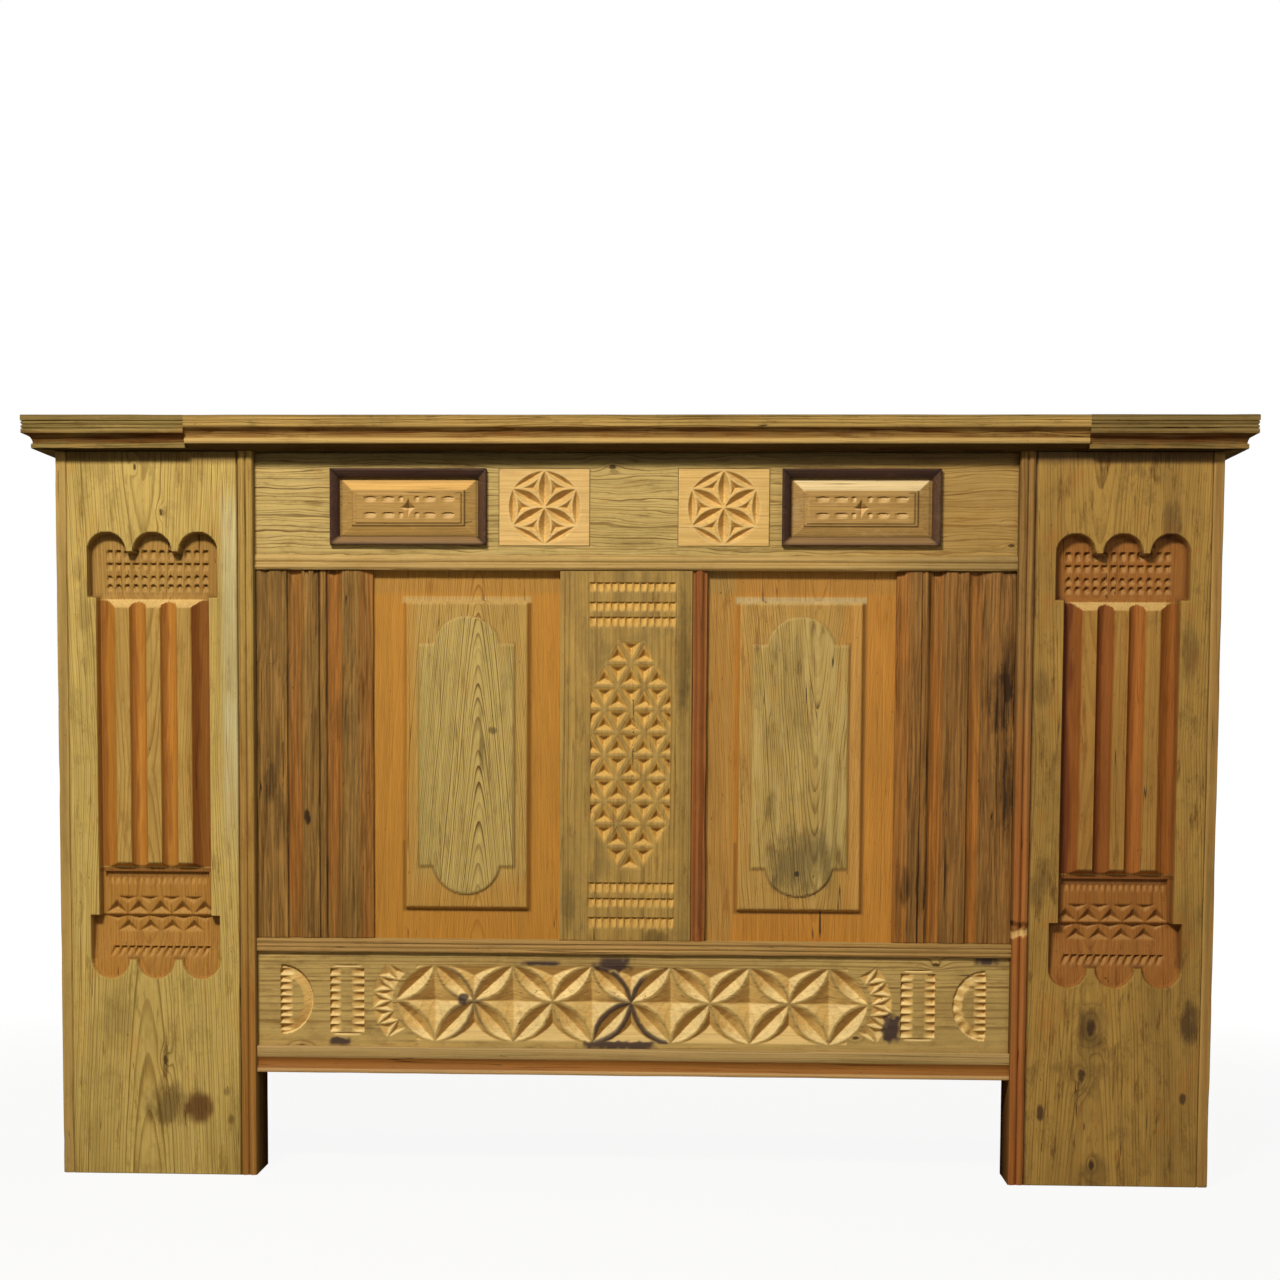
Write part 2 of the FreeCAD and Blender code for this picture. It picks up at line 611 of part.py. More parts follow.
# Rosette blocks: square blocks let into the frieze, with a sunk round for the carved flower
def petal(tip, other_tip, width, depth, face_y):
    """A leaf-shaped chip between two points of an upright face, sunk to a point under its middle."""
    first, last = FreeCAD.Vector(tip[0], face_y, tip[1]), FreeCAD.Vector(other_tip[0], face_y, other_tip[1])
    along = (last - first).normalize()
    across = along.cross(AXES["y"]) * (width / 2)
    first, last = first + along * PETAL_TIP_GAP, last - along * PETAL_TIP_GAP
    middle = (first + last) / 2
    rim = Part.Wire([
        Part.Arc(first, middle + across, last).toShape(), Part.Arc(last, middle - across, first).toShape(),
    ])
    return Part.makeLoft([rim, Part.Vertex(middle + AXES["y"] * depth)], True)


disc_y = RAIL_Y + ROSETTE_DISC_SINK
rosette = rosette_seat.cut(
    cylinder("y", ROSETTE_DISC / 2, (ROSETTE_OFFSET, ORNAMENT_LEVEL), RAIL_Y, disc_y)
)
rosette_petals = []
for i in range(ROSETTE_PETALS):
    angle = math.radians(90 + i * 360 / ROSETTE_PETALS)
    tip = (
        ROSETTE_OFFSET + ROSETTE_DISC / 2 * math.cos(angle),
        ORNAMENT_LEVEL + ROSETTE_DISC / 2 * math.sin(angle),
    )
    rosette_petals.append(
        petal((ROSETTE_OFFSET, ORNAMENT_LEVEL), tip, ROSETTE_PETAL_WIDTH, ROSETTE_PETAL_DEPTH, disc_y)
    )
save_pair("rosette_block", rosette.cut(rosette_petals).Solids[0])

# Fluted stiles: a rough band, a flute, a bead between two fillets, another flute and a bevelled edge
stile_y = RAIL_Y + STILE_SET_BACK
tenon_length = PANEL_GROOVE_DEPTH - PANEL_PLAY
band_x = BAY_HALF - STILE_BAND
flute_x = band_x - STILE_FLUTE
bead_x = flute_x - STILE_FILLET
second_flute_x = bead_x - STILE_BEAD
second_fillet_x = second_flute_x - STILE_FLUTE
edge_x = STILE_X + STILE_EDGE
stile = prism(
    "z", BASE_HEAD, FRIEZE_FOOT, (BAY_HALF, stile_y), (band_x, stile_y),
    (((band_x + flute_x) / 2, stile_y + STILE_FLUTE_DEPTH), (flute_x, stile_y)), (bead_x, stile_y),
    (bead_x, stile_y + STILE_BEAD_SINK),
    (((bead_x + second_flute_x) / 2, stile_y), (second_flute_x, stile_y + STILE_BEAD_SINK)),
    (second_flute_x, stile_y),
    (((second_flute_x + second_fillet_x) / 2, stile_y + STILE_FLUTE_DEPTH), (second_fillet_x, stile_y)),
    (edge_x, stile_y), (STILE_X, stile_y + STILE_EDGE_DROP),
    (STILE_X, FRAME_BACK_Y), (BAY_HALF, FRAME_BACK_Y),
)
stile = stile.cut(groove(STILE_X, STILE_X + PANEL_GROOVE_DEPTH, BASE_HEAD, FRIEZE_FOOT))


def stub_tenons(x0, x1):
    """The two stub tenons by which an upright stands in the grooves of the frieze and the base rail."""
    return [
        groove(x0, x1, FRIEZE_FOOT, FRIEZE_FOOT + tenon_length),
        groove(x0, x1, BASE_HEAD - tenon_length, BASE_HEAD),
    ]


stile = stile.fuse(stub_tenons(STILE_X + PANEL_GROOVE_DEPTH, BAY_HALF)).removeSplitter()
save_pair("fluted_stile", stile.Solids[0])

# Centre stile, and the bead strip that covers its right edge and holds the right panel
centre_y = RAIL_Y + CENTRE_SET_BACK
centre = box(-PANEL_X, CENTRE_SEAM_X, centre_y, FRAME_BACK_Y, BASE_HEAD, FRIEZE_FOOT)
centre = centre.cut(groove(-PANEL_X, PANEL_GROOVE_DEPTH - PANEL_X, BASE_HEAD, FRIEZE_FOOT))
centre = centre.fuse(stub_tenons(PANEL_GROOVE_DEPTH - PANEL_X, CENTRE_SEAM_X)).removeSplitter()
save("centre_stile", centre.Solids[0])

bead_shoulder = RAIL_Y + CENTRE_BEAD_NOSE
strip = prism(
    "z", BASE_HEAD, FRIEZE_FOOT, (CENTRE_SEAM_X, bead_shoulder),
    (((CENTRE_SEAM_X + PANEL_X) / 2, RAIL_Y), (PANEL_X, bead_shoulder)),
    (PANEL_X, FRAME_BACK_Y), (CENTRE_SEAM_X, FRAME_BACK_Y),
)
strip = strip.cut(groove(PANEL_X - PANEL_GROOVE_DEPTH, PANEL_X, BASE_HEAD, FRIEZE_FOOT))
strip = strip.fuse(stub_tenons(CENTRE_SEAM_X, PANEL_X - PANEL_GROOVE_DEPTH)).removeSplitter()
save("centre_bead", strip.Solids[0])

# Field panels: a plate in the grooves, a raised pane on it and a shouldered lozenge on the pane
panel_middle_x = (PANEL_X + STILE_X) / 2
plate_y = GROOVE_Y + PANEL_FIT / 2
plate = box(
    PANEL_X - tenon_length, STILE_X + tenon_length, plate_y, GROOVE_BACK_Y - PANEL_FIT / 2,
    BASE_HEAD - tenon_length, FRIEZE_FOOT + tenon_length,
)
pane_y = plate_y - PANE_RISE
pane_left, pane_right = PANEL_X + PANE_SIDE_MARGIN, STILE_X - PANE_SIDE_MARGIN
pane_foot, pane_head = BASE_HEAD + PANE_END_MARGIN, FRIEZE_FOOT - PANE_END_MARGIN
pane = box(pane_left, pane_right, pane_y, plate_y, pane_foot, pane_head)
left, right = pane_left + LOZENGE_SIDE_MARGIN, pane_right - LOZENGE_SIDE_MARGIN
arc_left, arc_right = left + LOZENGE_SHOULDER, right - LOZENGE_SHOULDER
foot, head = pane_foot + LOZENGE_END_MARGIN, pane_head - LOZENGE_END_MARGIN
lozenge = prism(
    "y", pane_y - LOZENGE_RISE, pane_y, (left, foot), (arc_left, foot),
    ((panel_middle_x, foot - LOZENGE_ARC_RISE), (arc_right, foot)), (right, foot),
    (right, head), (arc_right, head),
    ((panel_middle_x, head + LOZENGE_ARC_RISE), (arc_left, head)), (left, head),
)
save_pair("field_panel", plate.fuse([pane, lozenge]).removeSplitter().Solids[0])

# Base rail with its reeded cap and coved foot moulding
base = box(-BAY_HALF, BAY_HALF, RAIL_Y, FRAME_BACK_Y, BASE_FOOT, BASE_HEAD)
base = base.fuse([rail_tenon(tenon_spans[1]), mirrored(rail_tenon(tenon_spans[1]))])
base = base.cut(groove(-BAY_HALF, BAY_HALF, BASE_HEAD - PANEL_GROOVE_DEPTH, BASE_HEAD))
moon_foot, moon_head = BASE_PETAL_LEVEL - MOON_HEIGHT / 2, BASE_PETAL_LEVEL + MOON_HEIGHT / 2
moon = prism(
    "y", RAIL_Y, RAIL_Y + MOON_DEPTH, (MOON_OFFSET, moon_foot),
    ((MOON_OFFSET - MOON_WIDTH, BASE_PETAL_LEVEL), (MOON_OFFSET, moon_head)),
)
chips = [moon, mirrored(moon)]
for i in range(BASE_PETAL_CELLS):
    cell_x = (i + 0.5 - BASE_PETAL_CELLS / 2) * BASE_PETAL_PITCH
    for side in (-1, 1):
        for rise in (-BASE_PETAL_HALF_HEIGHT, BASE_PETAL_HALF_HEIGHT):
            chips.append(petal(
                (cell_x + side * BASE_PETAL_PITCH / 2, BASE_PETAL_LEVEL), (cell_x, BASE_PETAL_LEVEL + rise),
                BASE_PETAL_WIDTH, BASE_PETAL_DEPTH, RAIL_Y,
            ))
save("base_rail", base.removeSplitter().cut(chips).Solids[0])

cap_foot = BASE_HEAD - BASE_CAP_HEIGHT
cap_root = RAIL_Y - BASE_CAP_ROOT
save("base_cap_moulding", prism(
    "x", -BAY_HALF, BAY_HALF, (RAIL_Y, cap_foot), (cap_root, cap_foot),
    *reeds(BASE_CAP_REEDS, cap_foot, BASE_HEAD, cap_root, RAIL_Y - BASE_CAP_OUT), (RAIL_Y, BASE_HEAD),
))
foot_top = BASE_FOOT + BASE_FOOT_HEIGHT
cove_top = BASE_FOOT + BASE_FOOT_TOE + BASE_FOOT_COVE
foot_y = RAIL_Y - BASE_FOOT_OUT
toe_top = BASE_FOOT + BASE_FOOT_TOE
cove_deep = ((foot_y + RAIL_Y) / 2, (cove_top + toe_top) / 2)
save("base_foot_moulding", prism(
    "x", -BAY_HALF, BAY_HALF, (RAIL_Y, BASE_FOOT), (foot_y, BASE_FOOT), (foot_y, toe_top),
    (cove_deep, (foot_y, cove_top)), (foot_y, foot_top), (RAIL_Y, foot_top),
))

# Cabinet floor on its ledgers, notched round the pilasters and the rear posts
ledger_x = END_INNER - LEDGER_WIDTH
end_ledger = box(ledger_x, END_INNER, FACE_Y + PILASTER_THICK, POST_Y, BASE_FOOT, FLOOR_UNDER)
front_ledger = box(-BAY_HALF, BAY_HALF, FRAME_BACK_Y, FRAME_BACK_Y + LEDGER_WIDTH, BASE_FOOT, FLOOR_UNDER)
save("floor_ledgers", front_ledger, end_ledger, mirrored(end_ledger))
save("cabinet_floor", prism(
    "z", FLOOR_UNDER, FLOOR_TOP, (-BAY_HALF, FRAME_BACK_Y), (BAY_HALF, FRAME_BACK_Y),
    (BAY_HALF, CHEEK_BACK_Y), (END_INNER, CHEEK_BACK_Y), (END_INNER, POST_Y), (POST_X, POST_Y),
    (POST_X, REAR_FRAME_Y), (-POST_X, REAR_FRAME_Y), (-POST_X, POST_Y), (-END_INNER, POST_Y),
    (-END_INNER, CHEEK_BACK_Y), (-BAY_HALF, CHEEK_BACK_Y),
))

# Partitions between the open side bays and the closed middle cupboard
partition_inner = PARTITION_OFFSET - PARTITION_THICK / 2
partition_outer = PARTITION_OFFSET + PARTITION_THICK / 2
save_pair("partition", box(
    partition_inner, partition_outer, FRAME_BACK_Y, REAR_FRAME_Y, FLOOR_TOP, TOP_UNDER
))

# Rear frame: corner posts, two rails and the posts that carry the doors
save_pair("rear_post", box(POST_X, END_INNER, POST_Y, BACK_Y, 0, TOP_UNDER))
rail_pilot = cylinder("y", SCREW_RADIUS, (0, TOP_RAIL_FOOT + BUTTON_DROP), BACK_Y - SCREW_DEPTH, BACK_Y)
top_rail = box(-POST_X, POST_X, REAR_FRAME_Y, BACK_Y, TOP_RAIL_FOOT, TOP_UNDER)
save("rear_top_rail", top_rail.cut(rail_pilot))
save("rear_bottom_rail", box(
    -POST_X, POST_X, REAR_FRAME_Y, BACK_Y, FLOOR_TOP - REAR_BOTTOM_RAIL, FLOOR_TOP
))
door_post = box(
    DOOR_OPEN_HALF, DOOR_OPEN_HALF + DOOR_POST_WIDTH, REAR_FRAME_Y, BACK_Y, FLOOR_TOP, TOP_RAIL_FOOT
)
save("door_posts", door_post, mirrored(door_post))

# Shelves on cleats: one in the cupboard, which also stops the doors, and one in each side bay
shelf_under = SHELF_LEVEL - SHELF_THICK
stop_y = DOOR_Y - DOOR_STOP_GAP
save("cupboard_shelf", prism(
    "z", shelf_under, SHELF_LEVEL, (-partition_inner, FRAME_BACK_Y), (partition_inner, FRAME_BACK_Y),
    (partition_inner, REAR_FRAME_Y), (DOOR_OPEN_HALF, REAR_FRAME_Y), (DOOR_OPEN_HALF, stop_y),
    (-DOOR_OPEN_HALF, stop_y), (-DOOR_OPEN_HALF, REAR_FRAME_Y), (-partition_inner, REAR_FRAME_Y),
))
bay_shelf = box(partition_outer, END_INNER, CHEEK_BACK_Y, POST_Y, shelf_under, SHELF_LEVEL)
save("bay_shelves", bay_shelf, mirrored(bay_shelf))
cleat_y = (CHEEK_BACK_Y + CLEAT_END_GAP, POST_Y - CLEAT_END_GAP)
cleats = [
    box(x, x + CLEAT_SIZE, *cleat_y, shelf_under - CLEAT_SIZE, shelf_under)
    for x in (partition_inner - CLEAT_SIZE, partition_outer, END_INNER - CLEAT_SIZE)
]
save("shelf_cleats", *cleats, *[mirrored(cleat) for cleat in cleats])

# Doors: framed and panelled, the panel raised towards the servers' side
door_groove_y = DOOR_Y + (DOOR_THICK - DOOR_GROOVE_WIDTH) / 2
door_tongue = DOOR_GROOVE_DEPTH - PANEL_PLAY
stile_inner = DOOR_INNER_X + DOOR_STILE
stile_outer = DOOR_OUTER_X - DOOR_STILE
rail_low = DOOR_FOOT + DOOR_RAIL
rail_high = DOOR_HEAD - DOOR_RAIL


def door_groove(x0, x1, z0, z1):
    """A groove in the middle of a door's thickness, or the tongue that fills it."""
    return box(x0, x1, door_groove_y, door_groove_y + DOOR_GROOVE_WIDTH, z0, z1)


def door_block(x0, x1, z0, z1):
    """A length of door frame."""
    return box(x0, x1, DOOR_Y, BACK_Y, z0, z1)


meeting_stile = door_block(DOOR_INNER_X, stile_inner, DOOR_FOOT, DOOR_HEAD)
meeting_stile = meeting_stile.cut(
    door_groove(stile_inner - DOOR_GROOVE_DEPTH, stile_inner, DOOR_FOOT, DOOR_HEAD)
)
hinge_stile = door_block(stile_outer, DOOR_OUTER_X, DOOR_FOOT, DOOR_HEAD)
hinge_stile = hinge_stile.cut(
    door_groove(stile_outer, stile_outer + DOOR_GROOVE_DEPTH, DOOR_FOOT, DOOR_HEAD)
)
door_rails = []
for low, high, groove_low, tongue_low in (
    (DOOR_FOOT, rail_low, rail_low - DOOR_GROOVE_DEPTH, DOOR_FOOT),
    (rail_high, DOOR_HEAD, rail_high, rail_high + DOOR_GROOVE_DEPTH),
):
    rail = door_block(stile_inner, stile_outer, low, high)
    rail = rail.cut(door_groove(stile_inner, stile_outer, groove_low, groove_low + DOOR_GROOVE_DEPTH))
    tongue_high = tongue_low + DOOR_RAIL - DOOR_GROOVE_DEPTH
    rail = rail.fuse([
        door_groove(stile_inner - door_tongue, stile_inner, tongue_low, tongue_high),
        door_groove(stile_outer, stile_outer + door_tongue, tongue_low, tongue_high),
    ])
    door_rails.append(rail.removeSplitter().Solids[0])
panel_back = door_groove_y + DOOR_GROOVE_WIDTH - PANEL_FIT / 2
door_panel = box(
    stile_inner - door_tongue, stile_outer + door_tongue, door_groove_y + PANEL_FIT / 2, panel_back,
    rail_low - door_tongue, rail_high + door_tongue,
)
door_panel = door_panel.fuse(box(
    stile_inner + DOOR_PANEL_MARGIN, stile_outer - DOOR_PANEL_MARGIN,
    panel_back, panel_back + DOOR_PANEL_RISE,
    rail_low + DOOR_PANEL_MARGIN, rail_high - DOOR_PANEL_MARGIN,
)).removeSplitter().Solids[0]

# Turned knobs on the meeting stiles
knob_x = DOOR_INNER_X + DOOR_STILE / 2
knob_length = KNOB_FOOT + KNOB_NECK + KNOB_HEAD
head_start = KNOB_FOOT + KNOB_NECK
crown = KNOB_HEAD / 2


def knob_point(radius, out):
    """A point of the knob's profile, by its radius and its distance from the door."""
    return FreeCAD.Vector(knob_x + radius, BACK_Y + out, KNOB_LEVEL)


neck_dip = KNOB_NECK_RADIUS - (KNOB_FOOT_RADIUS - KNOB_NECK_RADIUS) / 2
profile = Part.Wire([
    Part.makeLine(knob_point(0, 0), knob_point(KNOB_FOOT_RADIUS, 0)),
    Part.makeLine(knob_point(KNOB_FOOT_RADIUS, 0), knob_point(KNOB_FOOT_RADIUS, KNOB_FOOT)),
    Part.makeLine(knob_point(KNOB_FOOT_RADIUS, KNOB_FOOT), knob_point(KNOB_NECK_RADIUS, KNOB_FOOT)),
    Part.Arc(
        knob_point(KNOB_NECK_RADIUS, KNOB_FOOT), knob_point(neck_dip, KNOB_FOOT + KNOB_NECK / 2),
        knob_point(KNOB_NECK_RADIUS, head_start),
    ).toShape(),
    Part.Arc(
        knob_point(KNOB_NECK_RADIUS, head_start), knob_point(KNOB_RADIUS, head_start + crown),
        knob_point(KNOB_NECK_RADIUS, knob_length),
    ).toShape(),
    Part.makeLine(knob_point(KNOB_NECK_RADIUS, knob_length), knob_point(0, knob_length)),
    Part.makeLine(knob_point(0, knob_length), knob_point(0, 0)),
])
knob = Part.Face(profile).revolve(knob_point(0, 0), AXES["y"], 360)

for side, twin in (("right", lambda shape: shape), ("left", mirrored)):
    save(f"door_{side}_stiles", twin(meeting_stile), twin(hinge_stile))
    save(f"door_{side}_rails", *[twin(rail) for rail in door_rails])
    save(f"door_{side}_panel", twin(door_panel))
    save(f"door_{side}_knob", twin(knob))

# Surface hinges: three knuckles on a pin, the outer two on the post's leaf, the middle one on the door's leaf
knuckle = HINGE_HEIGHT / 3
hinge_feet = (DOOR_FOOT + HINGE_INSET, DOOR_HEAD - HINGE_INSET - HINGE_HEIGHT)
hinge_axis = (HINGE_X, HINGE_Y)
post_leaves, door_leaves, pins = [], [], []
for hinge_foot in hinge_feet:
    hinge_head = hinge_foot + HINGE_HEIGHT
    bore = cylinder("z", PIN_RADIUS + PIN_FIT, hinge_axis, hinge_foot, hinge_head)
    middle = (hinge_foot + knuckle, hinge_foot + 2 * knuckle)
    barrel = cylinder("z", KNUCKLE_RADIUS, hinge_axis, hinge_foot, hinge_head)
    middle_room = box(
        HINGE_X - LEAF_WIDTH, HINGE_X + KNUCKLE_RADIUS + KNUCKLE_END_GAP,
        BACK_Y, HINGE_Y + KNUCKLE_RADIUS, *middle,
    )
    post_plate = box(
        DOOR_OPEN_HALF, DOOR_OPEN_HALF + LEAF_WIDTH, BACK_Y, BACK_Y + LEAF_THICK, hinge_foot, hinge_head
    )
    post_leaves.append(barrel.fuse(post_plate).cut([middle_room, bore]).removeSplitter().Solids[0])
    door_barrel = cylinder(
        "z", KNUCKLE_RADIUS, hinge_axis, middle[0] + KNUCKLE_END_GAP, middle[1] - KNUCKLE_END_GAP
    )
    door_plate = box(
        DOOR_OUTER_X - LEAF_WIDTH, DOOR_OUTER_X - KNUCKLE_RADIUS - KNUCKLE_END_GAP,
        BACK_Y, BACK_Y + LEAF_THICK, hinge_foot, hinge_head,
    )
    door_web = box(
        DOOR_OUTER_X - LEAF_WIDTH, DOOR_OUTER_X, BACK_Y, BACK_Y + LEAF_THICK,
        middle[0] + KNUCKLE_END_GAP, middle[1] - KNUCKLE_END_GAP,
    )
    door_leaves.append(door_barrel.fuse([door_plate, door_web]).cut(bore).removeSplitter().Solids[0])
    pin = cylinder("z", PIN_RADIUS, hinge_axis, hinge_foot, hinge_head)
    pin_head = cylinder("z", PIN_HEAD_RADIUS, hinge_axis, hinge_head, hinge_head + PIN_HEAD)
    pins.append(pin.fuse(pin_head).removeSplitter())
save("hinge_post_leaves", *post_leaves, *[mirrored(leaf) for leaf in post_leaves])
save("hinge_pins", *pins, *[mirrored(pin) for pin in pins])
save("door_right_hinge_leaves", *door_leaves)
save("door_left_hinge_leaves", *[mirrored(leaf) for leaf in door_leaves])

# Turn button on the rear top rail, on a washer and a round-headed screw
button_z = TOP_RAIL_FOOT + BUTTON_DROP
button_y = BACK_Y + WASHER_THICK
button_back = button_y + BUTTON_THICK
straight = BUTTON_LENGTH / 2 - BUTTON_WIDTH / 2
button_foot, button_head = button_z - BUTTON_WIDTH / 2, button_z + BUTTON_WIDTH / 2
button = prism(
    "y", button_y, button_back, (-straight, button_foot), (straight, button_foot),
    ((BUTTON_LENGTH / 2, button_z), (straight, button_head)), (-straight, button_head),
    ((-BUTTON_LENGTH / 2, button_z), (-straight, button_foot)),
)
button_axis = (0, button_z)
save("turn_button", button.cut(cylinder("y", SCREW_RADIUS + SCREW_FIT, button_axis, button_y, button_back)))
head_y = button_back + SCREW_HEAD_GAP
screw = cylinder("y", SCREW_RADIUS, button_axis, BACK_Y - SCREW_DEPTH, head_y)
screw_head = cylinder("y", SCREW_HEAD_RADIUS, button_axis, head_y, head_y + SCREW_HEAD)
washer = cylinder("y", WASHER_RADIUS, button_axis, BACK_Y, button_y)
save("turn_button_screw", screw.fuse([screw_head, washer]).removeSplitter())
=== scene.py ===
import math

import bpy
import numpy as np
from mathutils import Matrix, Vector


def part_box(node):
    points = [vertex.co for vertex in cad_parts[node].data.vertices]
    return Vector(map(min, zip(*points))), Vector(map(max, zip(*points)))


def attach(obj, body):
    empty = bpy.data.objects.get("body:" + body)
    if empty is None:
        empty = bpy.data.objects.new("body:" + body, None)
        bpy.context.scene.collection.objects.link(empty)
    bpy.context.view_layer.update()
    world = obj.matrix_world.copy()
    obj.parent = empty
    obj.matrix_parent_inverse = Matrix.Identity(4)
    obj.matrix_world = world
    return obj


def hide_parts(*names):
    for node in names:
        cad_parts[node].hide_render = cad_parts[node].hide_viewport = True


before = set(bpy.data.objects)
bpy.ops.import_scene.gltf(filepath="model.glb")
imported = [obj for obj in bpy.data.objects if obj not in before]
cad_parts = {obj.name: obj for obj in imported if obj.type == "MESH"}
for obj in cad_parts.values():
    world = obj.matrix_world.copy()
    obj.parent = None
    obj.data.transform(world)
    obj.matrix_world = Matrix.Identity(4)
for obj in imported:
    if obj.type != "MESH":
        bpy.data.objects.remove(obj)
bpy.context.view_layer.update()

# Pilaster boards: two planks of old oiled pine, glued between end planks and cheeks, that stand on the
# floor as the front legs. A niche with three arches at each end is sunk in the face with chisels, a fluted
# block is left standing in its neck, and rows of gouge cuts trim its floor.


def tint(code):
    """A colour from its six hex digits, as the linear values that shading uses."""
    parts = [int(code[i:i + 2], 16) / 255 for i in (0, 2, 4)]
    return tuple(c / 12.92 if c <= 0.04045 else ((c + 0.055) / 1.055) ** 2.4 for c in parts) + (1.0,)


def smooth(low, high, x):
    """0 up to low and 1 from high on; between them 3t^2 - 2t^3 of the way t. Low may be the larger."""
    t = np.clip((x - low) / (high - low), 0, 1)
    return t * t * (3 - 2 * t)


def bell(x, width):
    """A round peak of 1 at x = 0: exp(-(x / width)^2)."""
    return np.exp(-(x / width) ** 2)


def mottle(u, v, seed):
    """Value noise from -1 to 1: random numbers at whole steps of u and v, with smooth between them."""
    size = 64
    table = np.random.default_rng(seed).uniform(-1, 1, (size, size))
    i, j = np.floor(u).astype(int), np.floor(v).astype(int)
    a, b = smooth(0, 1, u - i), smooth(0, 1, v - j)
    near = table[i % size, j % size] * (1 - a) + table[(i + 1) % size, j % size] * a
    far = table[i % size, (j + 1) % size] * (1 - a) + table[(i + 1) % size, (j + 1) % size] * a
    return near * (1 - b) + far * b


def ruled(low, high, step, *zones):
    """Grid lines about a step apart from low to high, and closer in zones of (start, end, finer step)."""
    lines = np.linspace(low, high, max(2, round((high - low) / step) + 1))
    for start, end, fine in zones:
        outside = (lines < start - fine / 2) | (lines > end + fine / 2)
        count = max(2, round((end - start) / fine) + 1)
        lines = np.sort(np.concatenate([lines[outside], np.linspace(start, end, count)]))
    return lines


def board_lines(low, high, step, *zones):
    """Grid lines of a board, with close ones beside both ends for the worn arris."""
    edge = 0.003
    return ruled(low, high, step, *zones, (low, low + edge, edge / 4), (high - edge, high, edge / 4))


def rim_gap(x, z):
    """How far each point of a board's grid lies from the board's nearest side."""
    return np.minimum.reduce([x - x.min(), x.max() - x, z - z.min(), z.max() - z])


def arris(x, z, radius):
    """A quarter-round along a board's rim: how far each point falls back, and a mark fading inwards."""
    rim = rim_gap(x, z)
    gap = np.clip(radius - rim, 0, radius)
    return radius - np.sqrt(radius ** 2 - gap ** 2), smooth(radius * 1.6, 0, rim)


def piece(node, points, quads, caps, marks, material, body="cabinet"):
    """A mesh that stands for a CAD node. Points that coincide are welded, a face that loses corners by it
    becomes a triangle or goes, and all are turned if the signed volume, sum of a.(b x c) / 6, is below 0."""
    sharp = math.radians(62)
    points = points.reshape(-1, 3)
    _, first, weld = np.unique(np.round(points, 6), axis=0, return_index=True, return_inverse=True)
    weld = weld.reshape(-1)
    points = points[first]
    quads = weld[quads.reshape(-1, 4)]
    kept = quads != np.roll(quads, 1, axis=1)
    corners = kept.sum(1)
    faces = quads[corners == 4].tolist() + quads[corners == 3][kept[corners == 3]].reshape(-1, 3).tolist()
    faces += [weld[np.asarray(cap)].tolist() for cap in caps]
    a, b, c = (points[[face[i] for face in faces]] for i in (0, 1, 2))
    d = points[[face[-1] for face in faces]]
    fan = np.einsum("ij,ij->i", a, np.cross(b, c)) + np.einsum("ij,ij->i", a, np.cross(c, d))
    for cap in faces[len(faces) - len(caps):]:
        pairs = np.cross(points[cap[2:-2]], points[cap[3:-1]])
        fan = np.append(fan, np.einsum("j,ij->i", points[cap[0]], pairs))
    if fan.sum() < 0:
        faces = [face[::-1] for face in faces]
    name = f"{node}_surface"
    mesh = bpy.data.meshes.new(name)
    mesh.from_pydata(points.tolist(), [], faces)
    mesh.shade_smooth()
    mesh.set_sharp_from_angle(angle=sharp)
    for mark, values in marks.items():
        layer = mesh.attributes.new(mark, "FLOAT", "POINT")
        layer.data.foreach_set("value", np.asarray(values, np.float32).reshape(-1)[first])
    made = bpy.data.objects.new(name, mesh)
    bpy.context.scene.collection.objects.link(made)
    mesh.materials.append(material)
    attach(made, body)
    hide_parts(node)


def relief(node, x, z, face, back, depth, marks, material, body="cabinet"):
    """A carved board. On a grid of x and z its front lies depth(x, z) from y = face towards y = back; a
    ring of points at y = back makes the sides, and slats across that ring close the back."""
    y = np.pad(face + math.copysign(1, back - face) * depth, 1, constant_values=back)
    points = np.stack([np.pad(x, 1, "edge"), y, np.pad(z, 1, "edge")], -1)
    index = np.arange(y.size).reshape(y.shape)
    quads = np.stack([index[:-1, :-1], index[:-1, 1:], index[1:, 1:], index[1:, :-1]], -1).reshape(-1, 4)
    left, right = index[2:-2, 0], index[2:-2, -1]
    slats = np.stack([right[:-1], left[:-1], left[1:], right[1:]], -1)
    foot = [*index[0, 1:-1][::-1], left[0], right[0]]
    head = [right[-1], left[-1], *index[-1, 1:-1]]
    marks = {mark: np.pad(values, 1, "edge") for mark, values in marks.items()}
    piece(node, points, np.concatenate([quads, slats]), [foot, head], marks, material, body)


def gouges(u, z, first, last, count, head, foot, deep, half=0.44, bow=0.0):
    """A row of gouge cuts, each stabbed straight down at its head and run out to the surface at its foot.
    Depth is deep * way up * sqrt(1 - across^2), and a bow rounds the head."""
    place = (u - first) / (last - first) * count
    across = (place - np.floor(place) - 0.5) / half
    way = (z - foot) / (head - foot)
    cut = deep * np.clip(way, 0, 1) * np.sqrt(np.clip(1 - across ** 2, 0, 1))
    return np.where((place > 0) & (place < count) & (way > 0) & (way < 1 - bow * across ** 2), cut, 0)


def wedges(u, z, first, last, count, base, tip, deep):
    """A row of three-sided chips with their bases on one line, each deeper from its edges inwards."""
    place = (u - first) / (last - first) * count
    across = np.abs(place - np.floor(place) - 0.5) * 2
    way = (z - base) / (tip - base)
    cut = deep * np.clip(np.minimum(way, (1 - across - way) * 0.8) * 2.4, 0, 1)
    return np.where((place > 0) & (place < count), cut, 0)


